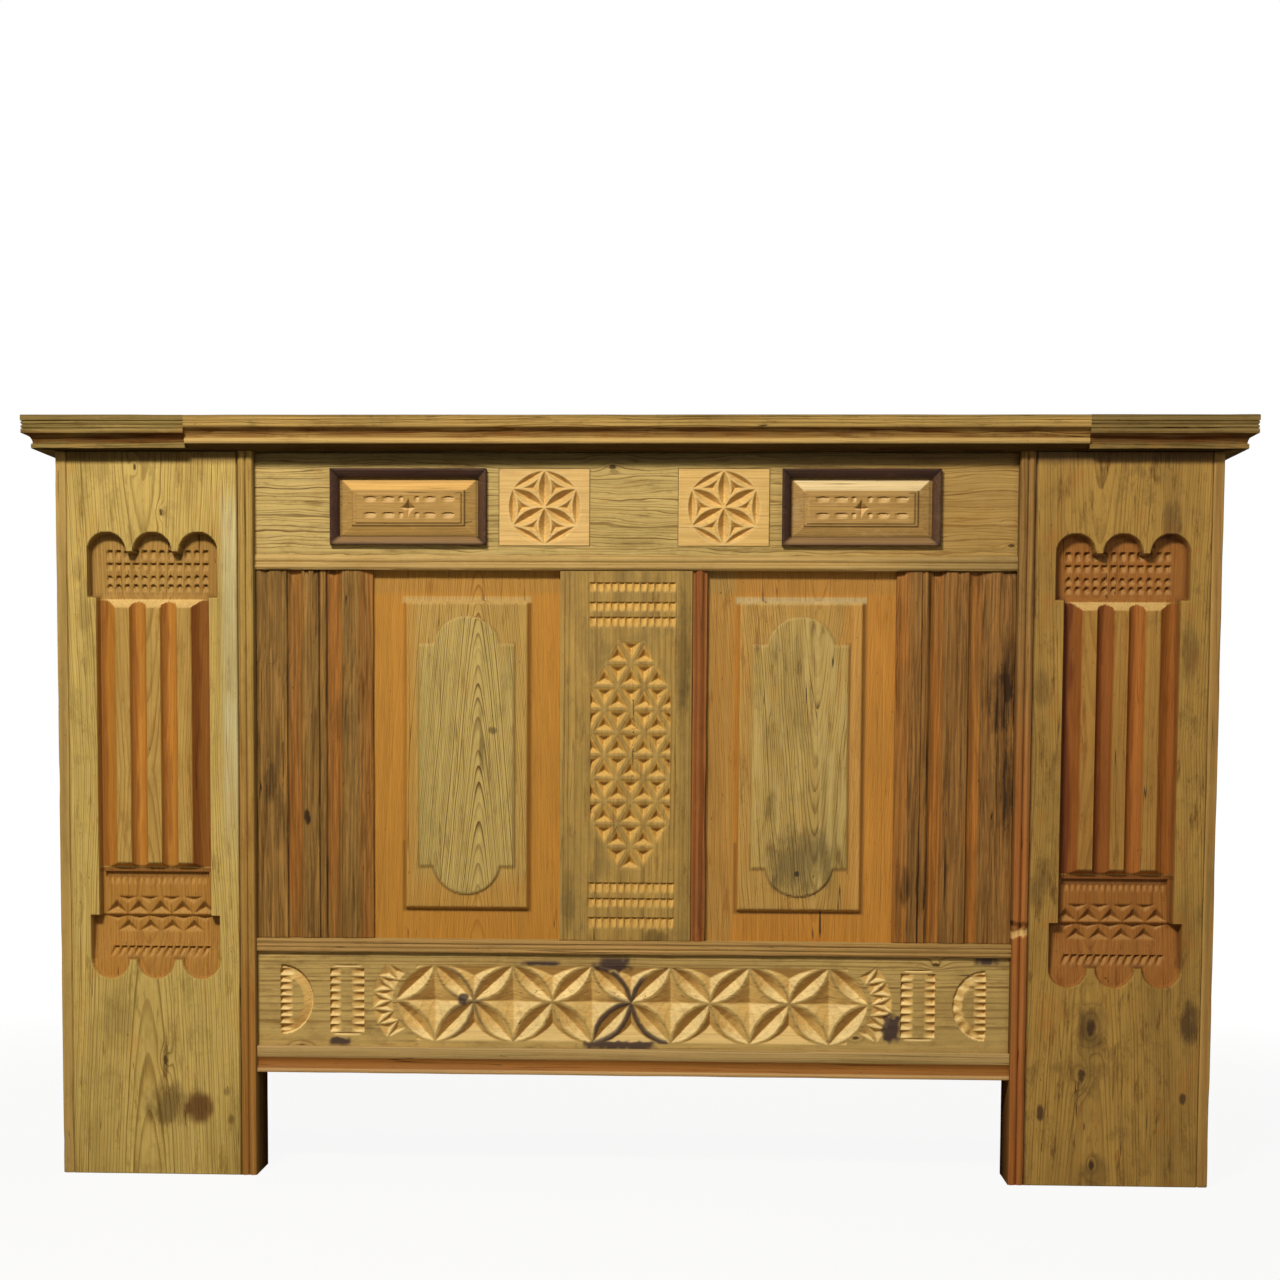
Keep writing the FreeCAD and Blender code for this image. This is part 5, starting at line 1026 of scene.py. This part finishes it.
for hand, side in HANDS:
    node = f"field_panel_{hand}"
    low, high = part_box(node)
    middle = (low.x + high.x) / 2
    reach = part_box("fluted_stile_right")[0].x - abs(middle)
    x, z = np.meshgrid(
        board_lines(middle - reach, middle + reach, 0.0016),
        board_lines(field_foot, field_head, 0.0022),
    )
    u = x - middle
    pane = box_in(u, z, PANE_HALF, PANE_FOOT, PANE_HEAD)
    bow = (BOW_HALF ** 2 + BOW_RISE ** 2) / (2 * BOW_RISE)
    lozenge = np.maximum.reduce([
        box_in(u, z, LOZENGE_HALF, LOZENGE_FOOT, LOZENGE_HEAD),
        np.minimum(bow - np.hypot(u, z - LOZENGE_HEAD - BOW_RISE + bow), z - LOZENGE_FOOT),
        np.minimum(bow - np.hypot(u, z - LOZENGE_FOOT + BOW_RISE - bow), LOZENGE_HEAD - z),
    ])
    raised, top = np.clip(pane / PANE_BEVEL, 0, 1), smooth(0, 0.002, lozenge)
    depth = LOZENGE_DROP + PANE_DROP - PANE_DROP * raised - LOZENGE_DROP * top
    depth = depth + 0.0003 * (1 + mottle(x / 0.012, z / 0.2, 58 + side))
    is_right = side > 0
    # Lower and right edges, where painted shadow lines round the lozenge and pane are heavier.
    lower = (z < 0.48) | (u > 0.06) & (z < PANE_HEAD - 0.004)
    # The pane's top bevel, which gets a painted highlight.
    head_bevel = smooth(0.0065, 0.0025, np.abs(z - PANE_HEAD - 0.001)) * (np.abs(u) < PANE_HALF + 0.002)
    # The margin under the frieze bead: browner wood, and painted shadow.
    under_frieze = smooth(PANE_HEAD + 0.004, PANE_HEAD + 0.016, z)
    beside_bead = is_right * smooth(-0.090, -0.098, u)
    if is_right:
        fresher = smooth(0.05, 0.08, u)
    else:
        fresher = 0.6 * np.maximum(smooth(-0.068, -0.08, u), smooth(0.44, 0.41, z))
    share = 0.6 - 0.5 * fresher
    scoured = mottle(x / 0.005, z / 0.045, 62) + 0.8 * mottle(x / 0.03, z / 0.09, 63)
    scoured = smooth(0.1, 0.7, scoured) * is_right
    marks = {
        "cut": 0.95 - share * smooth(0.6, 1.0, raised) - (0.95 - share) * top - 0.2 * under_frieze
        - 0.4 * beside_bead - 0.5 * head_bevel,
        # Painted highlight on the pane's top bevel in pale and grey; a paler strip of wood on the right
        # pane.
        "pale": 0.3 * head_bevel + 0.35 * is_right * smooth(0.068, 0.075, u) * smooth(0, 0.004, pane),
        "grey": (0.25 + 0.15 * side) * head_bevel,
        "edge": np.maximum(0.5 * bell(lozenge - 0.0012, 0.0012), 0.5 * bell(pane - PANE_BEVEL, 0.001))
        + 0.8 * scoured * top,
        # Painted shadow lines round the lozenge and pane, heavier low and right, and painted shadow under
        # the bead.
        "grime_and_shade": (0.2 + 0.3 * lower) * bell(lozenge + 0.0008, 0.0011)
        + (0.15 + 0.4 * lower) * bell(pane + 0.001, 0.002) + 0.11 * under_frieze + 0.08 * beside_bead,
    }
    relief(node, x, z, low.y, high.y, depth, marks, panel_wood[hand])

# Inside of the carcass: a floor on ledgers, two partitions, and shelves on cleats, all plain sawn pine
# boards nailed together where no guest sees them.
SIDE_INNER, SIDE_BATTEN, SIDE_FRONT, SIDE_REAR = 0.798, 0.773, -0.201, 0.170
FRONT_BACK, DOOR_INNER = -0.178, 0.206
LEDGER_HALF, LEDGER_BACK, LEDGER_FOOT, LEDGER_HEAD = 0.534, -0.153, 0.148, 0.172
PARTITION_INNER, PARTITION_OUTER = 0.349, 0.371
SHELF_FOOT, SHELF_HEAD, BAY_FRONT = 0.580, 0.600, -0.151
CLEAT_WIDE, CLEAT_FOOT, CLEAT_FRONT, CLEAT_REAR = 0.018, 0.562, -0.139, 0.158
carcass = {
    axis: pine(f"carcass pine {axis}", axis, "b08f58", "7e5c32", ring=0.006, pith=(0.1, 0.6), wander=0.008,
               patina="7c6138", edge="c6a56c", seed=23 + i, dirt=0.7, streaks=0.5)
    for i, axis in enumerate("xyz")
}


def plain_boards(node, along, boxes, seed):
    """Carcass boards that stand for one node."""
    planks(node, boxes, along, carcass[along], seed)


def both_sides(low, high):
    """A box on the right and the same box on the left."""
    return [(low, high), ((-high[0], low[1], low[2]), (-low[0], high[1], high[2]))]


front_ledger = ((-LEDGER_HALF, FRONT_BACK, LEDGER_FOOT), (LEDGER_HALF, LEDGER_BACK, LEDGER_HEAD))
end_ledgers = both_sides((SIDE_BATTEN, SIDE_FRONT, LEDGER_FOOT), (SIDE_INNER, SIDE_REAR, LEDGER_HEAD))
plain_boards("floor_ledgers", "x", [front_ledger] + end_ledgers, 61)
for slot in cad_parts["cabinet_floor"].material_slots:
    slot.material = carcass["x"]
for node, seed in (("partition_left", 62), ("partition_right", 63)):
    plain_boards(node, "z", [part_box(node)], seed)
shelf = ((-PARTITION_INNER, FRONT_BACK, SHELF_FOOT), (PARTITION_INNER, DOOR_INNER, SHELF_HEAD))
plain_boards("cupboard_shelf", "x", [shelf], 64)
shelves = both_sides((PARTITION_OUTER, BAY_FRONT, SHELF_FOOT), (SIDE_INNER, SIDE_REAR, SHELF_HEAD))
plain_boards("bay_shelves", "x", shelves, 65)
cleats = []
for left in (PARTITION_INNER - CLEAT_WIDE, PARTITION_OUTER, SIDE_INNER - CLEAT_WIDE):
    cleats += both_sides((left, CLEAT_FRONT, CLEAT_FOOT), (left + CLEAT_WIDE, CLEAT_REAR, SHELF_FOOT))
plain_boards("shelf_cleats", "y", cleats, 66)

# Rear frame: corner posts, a rail over and a rail under the doors, and two door posts between the rails.
# All are sawn pine, butted together and nailed.
POST_INNER, POST_OUTER, POST_FOOT, POST_HEAD, POST_BACK = 0.337, 0.383, 0.194, 0.986, 0.230
for node, along, seed in (("rear_post_left", "z", 71), ("rear_post_right", "z", 72),
                          ("rear_top_rail", "x", 73), ("rear_bottom_rail", "x", 74)):
    plain_boards(node, along, [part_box(node)], seed)
posts = both_sides((POST_INNER, DOOR_INNER, POST_FOOT), (POST_OUTER, POST_BACK, POST_HEAD))
plain_boards("door_posts", "z", posts, 75)

# Doors: two framed pine doors on the servers' side. Stiles and rails are grooved round a panel that is
# raised in the middle; each door has a turned walnut knob and hangs on two brass surface hinges.
DOOR_STILE, DOOR_RAIL, DOOR_MARGIN, DOOR_GROOVE = 0.055, 0.062, 0.026, 0.009
KNOB_NECK = (
    (0, 0), (0.0105, 0), (0.011, 0.0005), (0.011, 0.0035),
    (0.0095, 0.0045), (0.0082, 0.006), (0.0078, 0.009), (0.0088, 0.0118),
)
KNOB_RADIUS, KNOB_MIDDLE, KNOB_HALF = 0.0149, 0.019, 0.007
door_wood = {
    axis: pine(f"door pine {axis}", axis, "b28d50", "7f5a2e", ring=0.005, pith=(0.2, 0.4),
               taper=(-1.0, 0.05), patina="7a6036", edge="c8a468", cut="a8752f", seed=27 + i, streaks=0.45)
    for i, axis in enumerate("xz")
}


def lathe(node, profile, centre, material, body):
    """A turned piece: a profile of (radius, place along y) carried round the y axis through a centre."""
    sides = 48
    turn = np.linspace(0, 2 * np.pi, sides + 1)[:-1][:, None]
    radius, out = profile[:, 0], profile[:, 1]
    points = np.stack([centre[0] + radius * np.cos(turn), np.broadcast_to(out, (sides, len(out))),
                       centre[2] + radius * np.sin(turn)], -1)
    index = np.arange(points[..., 0].size).reshape(points.shape[:2])
    after = np.roll(index, -1, axis=0)
    quads = np.stack([index[:, :-1], after[:, :-1], after[:, 1:], index[:, 1:]], -1)
    piece(node, points, quads, [], {}, material, body)


for hand, side in HANDS:
    body = f"door_{hand}"
    low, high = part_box(f"door_{hand}_stiles")
    inner = low.x + DOOR_STILE, high.x - DOOR_STILE
    uprights = [((low.x, low.y, low.z), (inner[0], high.y, high.z)),
                ((inner[1], low.y, low.z), (high.x, high.y, high.z))]
    cross = [((inner[0], low.y, low.z), (inner[1], high.y, low.z + DOOR_RAIL)),
             ((inner[0], low.y, high.z - DOOR_RAIL), (inner[1], high.y, high.z))]
    planks(f"door_{hand}_stiles", uprights, "z", door_wood["z"], 81, body)
    planks(f"door_{hand}_rails", cross, "x", door_wood["x"], 83, body)
    node = f"door_{hand}_panel"
    low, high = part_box(node)
    x, z = np.meshgrid(
        board_lines(*inner, 0.003),
        board_lines(low.z + DOOR_GROOVE, high.z - DOOR_GROOVE, 0.006),
    )
    rim = rim_gap(x, z)
    depth = 0.005 - 0.004 * np.clip(rim / DOOR_MARGIN, 0, 1)
    depth = depth - 0.001 * smooth(DOOR_MARGIN, DOOR_MARGIN + 0.001, rim)
    depth = depth + 0.0002 * (1 + mottle(x / 0.02, z / 0.2, 85))
    marks = {"edge": 0.5 * bell(rim - DOOR_MARGIN, 0.0015), "cut": 0.5 * smooth(DOOR_MARGIN, 0, rim),
             "grime_and_shade": 0.4 * smooth(0.004, 0.0, rim)}
    relief(node, x, z, high.y, low.y, depth, marks, door_wood["z"], body)
    node = f"door_{hand}_knob"
    low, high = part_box(node)
    way = np.linspace(0, np.pi, 15)[2:]
    head = np.stack([KNOB_RADIUS * np.sin(way) ** 0.8, KNOB_MIDDLE - KNOB_HALF * np.cos(way)], -1)
    profile = np.concatenate([KNOB_NECK, head]) + (0, low.y)
    lathe(node, profile, (low + high) / 2, walnut, body)

# Turn button: a small walnut bar, cut round at its ends, on the rear top rail. It turns on a brass screw,
# and when it stands upright it holds both doors shut.
BUTTON_WAY = np.array([0, 0.0004, 0.0015, 0.004, 0.0075, 0.0098, 0.0106, 0.011])[:, None]
BUTTON_SHRINK = np.array([0.0015, 0.0006, 0, 0, 0, 0.0005, 0.0013, 0.0025])[:, None]
low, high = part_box("turn_button")
turn = np.linspace(0, 2 * np.pi, 41)[:-1]
middle, half = (low + high) / 2, (high - low) / 2
across = half.x * np.sign(np.cos(turn)) * np.abs(np.cos(turn)) ** 0.55
upright = half.z * np.sign(np.sin(turn)) * np.abs(np.sin(turn)) ** 0.8
rings = np.empty((len(BUTTON_WAY), len(turn), 3))
rings[..., 0] = middle.x + across * (1 - BUTTON_SHRINK / 0.036)
rings[..., 1] = low.y + BUTTON_WAY
rings[..., 2] = middle.z + upright * (1 - BUTTON_SHRINK / 0.010)
tube("turn_button", [rings], {"edge": [smooth(0, 0.002, BUTTON_SHRINK)]}, walnut, "button")

# Brass: hinge leaves pressed from sheet, turned pins, and the button's screw, all gone brown with age. The
# leaves lie on the faces of the doors and the door posts.
brass, start = new_tree("aged brass")
place = start.own_place()
large = start.add("VectorMath", {0: place, "Scale": 60.0}, operation="SCALE").noise(4.0, 0.6)
fine = start.add("VectorMath", {0: place, "Scale": 700.0}, operation="SCALE").noise(3.0)
tarnish = large.step(0.38, 0.68)
bump = start.add("Bump", {"Strength": 0.3, "Distance": 0.0003, "Height": fine + large})
shader = start.add("BsdfPrincipled", {
    "Base Color": tarnish.mix(tint("94713a"), tint("4e381c")), "Metallic": 0.9 - tarnish * 0.25,
    "Roughness": 0.42 + tarnish * 0.25 + fine * 0.1, "Normal": bump,
})
start.add("OutputMaterial", {0: shader})
for node in ("hinge_pins", "hinge_post_leaves", "door_left_hinge_leaves", "door_right_hinge_leaves",
             "turn_button_screw"):
    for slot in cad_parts[node].material_slots:
        slot.material = brass

# Top: three pine planks side by side, nailed down on two end bearers and a front batten. Their upper faces
# are level with the cornice.
BEARER_FOOT, BEARER_HEAD, BATTEN_FOOT, BATTEN_FRONT = 1.000, 1.046, 1.025, -0.218
batten = ((-SIDE_BATTEN, BATTEN_FRONT, BATTEN_FOOT), (SIDE_BATTEN, FRONT_BACK, BEARER_HEAD))
bearers = both_sides((SIDE_BATTEN, SIDE_FRONT, BEARER_FOOT), (SIDE_INNER, SIDE_REAR, BEARER_HEAD))
plain_boards("top_bearers", "x", [batten] + bearers, 91)
top_wood = pine("top pine", "x", "a88a50", "73552c", ring=0.006, pith=(1.5, 0.2), patina="6f5a32",
                edge="bb9c62", seed=30, streaks=0.5)
for number, part in enumerate(("front", "middle", "rear")):
    node = f"top_plank_{part}"
    planks(node, [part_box(node)], "x", top_wood, 93 + number)

# Cornice: pine moulding nailed round the top. The front is spliced from three lengths, and a return runs
# back along each end from a mitre. They have a fillet, two reeds, a cove and a foot, but the older middle
# length has a tall fillet, a flatter cove and a round foot.
CORNICE_FACE, CORNICE_END, CORNICE_SPLICE = 0.233, 0.813, 0.623
turn = np.linspace(0, np.pi / 2, 9)
cove = np.stack([0.0365 - 0.013 * np.sin(turn), 1.045 - 0.013 * (1 - np.cos(turn))], -1)
section = np.concatenate([
    [(-0.015, 1.070), (0.036, 1.070), (0.037, 1.069), (0.037, 1.0625), (0.0365, 1.062)],
    reed_row(1.062, 1.051, 0.0345, 0.0365, 2)[:, ::-1], [(0.0365, 1.051), (0.0365, 1.0455)], cove,
    [(0.0253, 1.0312), (0.0255, 1.030), (0.0255, 1.0257), (0.0250, 1.025), (-0.015, 1.025)],
])
hollow = np.stack([0.0345 - 0.0095 * np.sin(turn), 1.0525 - 0.0120 * (1 - np.cos(turn))], -1)
older_section = np.concatenate([
    [(-0.015, 1.070), (0.0345, 1.070), (0.0362, 1.0690), (0.0365, 1.0675)],
    reed_row(1.0665, 1.0535, 0.0356, 0.0363, 3)[:, ::-1], hollow,
    [(0.0262, 1.0396), (0.0285, 1.0375), (0.0290, 1.0350), (0.0283, 1.0325), (0.0260, 1.0312)],
    [(0.0020, 1.025), (-0.015, 1.025)],
])
cornice_wood = {
    part: pine(f"cornice pine {part}", along, early, late, ring=0.0036, pith=(1.150, -0.22), wander=0.007,
               patina="5d4a26", patched=0.55, heart_and_shade="5e2a0e", edge="a58b54", seed=seed, dirt=0.8,
               streaks=0.9, mottled=0.7, contrast=0.9, gloss=0.0)
    for part, along, early, late, seed in (
        ("left", "x", "968049", "4e3c1e", 34), ("middle", "x", "b89756", "6a4a20", 35),
        ("right", "x", "897244", "44321a", 36), ("return", "y", "94784a", "5a4526", 37))
}
mitre = CORNICE_END + section[:, 0]
# Outline, top and foot of its cove, level of its underside, strength of the painted shade in the cove,
# and how pale the foot is.
usual = (section, 1.0440, 1.0355, 1.0252, 0.8, 0.0)
older = (older_section, 1.0520, 1.0415, 1.0315, 0.64, 0.55)
for part, start, end, (outline, cove_top, cove_foot, soffit, dark, pale) in (
    ("left", -mitre, -CORNICE_SPLICE, usual), ("middle", -CORNICE_SPLICE, CORNICE_SPLICE, older),
    ("right", CORNICE_SPLICE, mitre, usual),
):
    node = f"cornice_front_{part}"
    out, level, along, edge = worn_run(outline, start, end, 96)
    reach, height = outline.T
    # Painted shade in the cove under the reeds, in the heartwood tone.
    cove_shade = dark * smooth(cove_top + 0.0025, cove_top, height)
    cove_shade = cove_shade * smooth(cove_foot - 0.004, cove_foot, height)
    marks = {
        "edge": [edge],
        "heart_and_shade": [cove_shade * (0.75 + 0.45 * mottle(along / 0.035, height / 0.003, 98))],
        "pale": [pale * smooth(1.0405, 1.038, height) * (reach > 0.02)],
        # Painted shade on the underside, and a darker top arris.
        "grime_and_shade": [0.85 * (height < soffit) + 0.45 * (height > 1.0685) * (reach > 0.03)],
    }
    rings = np.stack([along, -CORNICE_FACE - out, level], -1)
    tube(node, [rings], marks, cornice_wood[part])
for hand, side in HANDS:
    node = f"cornice_return_{hand}"
    out, level, along, edge = worn_run(section, -CORNICE_FACE - section[:, 0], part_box(node)[1].y, 97)
    rings = np.stack([side * (CORNICE_END + out), along, level], -1)
    # Painted shade on the return's underside.
    marks = {"edge": [edge], "grime_and_shade": [0.4 * (section[:, 1] < 1.0252)]}
    tube(node, [rings], marks, cornice_wood["return"])

# Floor, light and camera: a plain pale floor under soft light from above the two front corners, a weaker
# lamp high behind for the servers' side, and a standing viewer's camera a little right of the middle.
CAMERA_PLACE = (0.0891, -3.2031, 0.6422)
CAMERA_YAW, CAMERA_PITCH, CAMERA_ROLL = 0.0381, -0.0699, 0.0053
CAMERA_LENS = 59.52
CAMERA_SHIFT = (0.020, 0.184)
FLOOR_REACH = 30.0
LAMP_COLOUR = (1.0, 0.95, 0.86)
WHITE = (1.0, 1.0, 1.0, 1.0)


def seen_plainly(start):
    """1 for rays from the camera, straight or by way of a mirror or glass, and 0 for all others."""
    path = start.add("LightPath")
    return start.math("MINIMUM", path + path.other(3) + path.other(6), 1.0)


floor_side = np.linspace(-FLOOR_REACH, FLOOR_REACH, 3)
floor_x, floor_y = (grid.reshape(-1) for grid in np.meshgrid(floor_side, floor_side))
floor_mesh = bpy.data.meshes.new("studio floor")
floor_corners = [(i, i + 1, i + 4, i + 3) for i in (0, 1, 3, 4)]
floor_mesh.from_pydata(np.stack([floor_x, floor_y, np.zeros(9)], -1).tolist(), [], floor_corners)
studio_floor = bpy.data.objects.new("studio_floor", floor_mesh)
bpy.context.scene.collection.objects.link(studio_floor)
floor_paint, start = new_tree("pale floor")
matt = start.add("BsdfDiffuse", {"Color": tint("a09d98")})
away = start.add("VectorMath", {0: start.own_place()}, out=1, operation="LENGTH")
seen = seen_plainly(start) * (0.86 + away.step(1.0, 3.0) * 0.14)
bright = start.add("Emission", {"Color": WHITE, "Strength": 1.07})
start.add("OutputMaterial", {0: start.add("MixShader", {0: seen, 1: matt, 2: bright})})
floor_mesh.materials.append(floor_paint)

world = bpy.data.worlds.new("white room")
bpy.context.scene.world = world
world.use_nodes = True
world.node_tree.nodes.clear()
start = Wire(world.node_tree)
backdrop = start.add("Background", {"Color": WHITE, "Strength": seen_plainly(start) * 0.945 + 0.055})
start.add("OutputWorld", {0: backdrop})

for name, place, size, power in (("key light", (-0.85, -2.75, 2.62), (0.8, 0.4), 108.0),
                                 ("fill light", (1.9, -2.6, 1.6), (1.0, 1.0), 9.0),
                                 ("rear light", (0.6, 2.7, 2.5), (1.2, 1.2), 45.0)):
    lamp = bpy.data.lights.new(name, "AREA")
    lamp.shape = "RECTANGLE"
    lamp.size, lamp.size_y = size
    lamp.energy = power
    lamp.color = LAMP_COLOUR
    holder = bpy.data.objects.new(name, lamp)
    bpy.context.scene.collection.objects.link(holder)
    aim = np.array((place[0] * 0.25, -0.2, 0.6)) - np.array(place)
    holder.location = place
    holder.rotation_euler = (math.atan2(np.hypot(aim[0], aim[1]), -aim[2]), 0, math.atan2(-aim[0], aim[1]))

cy, sy = math.cos(CAMERA_YAW), math.sin(CAMERA_YAW)
cp, sp = math.cos(CAMERA_PITCH), math.sin(CAMERA_PITCH)
cr, sr = math.cos(CAMERA_ROLL), math.sin(CAMERA_ROLL)
level, rise = np.array((cy, sy, 0)), np.array((sp * sy, -sp * cy, cp))
right, up, ahead = cr * level + sr * rise, cr * rise - sr * level, np.array((-cp * sy, cp * cy, sp))
camera = bpy.data.cameras.new("viewer")
camera.lens = CAMERA_LENS
camera.shift_x, camera.shift_y = CAMERA_SHIFT
viewer = bpy.data.objects.new("viewer", camera)
bpy.context.scene.collection.objects.link(viewer)
viewer.matrix_world = Matrix([
    (right[0], up[0], -ahead[0], CAMERA_PLACE[0]), (right[1], up[1], -ahead[1], CAMERA_PLACE[1]),
    (right[2], up[2], -ahead[2], CAMERA_PLACE[2]), (0, 0, 0, 1),
])
bpy.context.scene.camera = viewer
bpy.context.scene.view_settings.view_transform = "Standard"
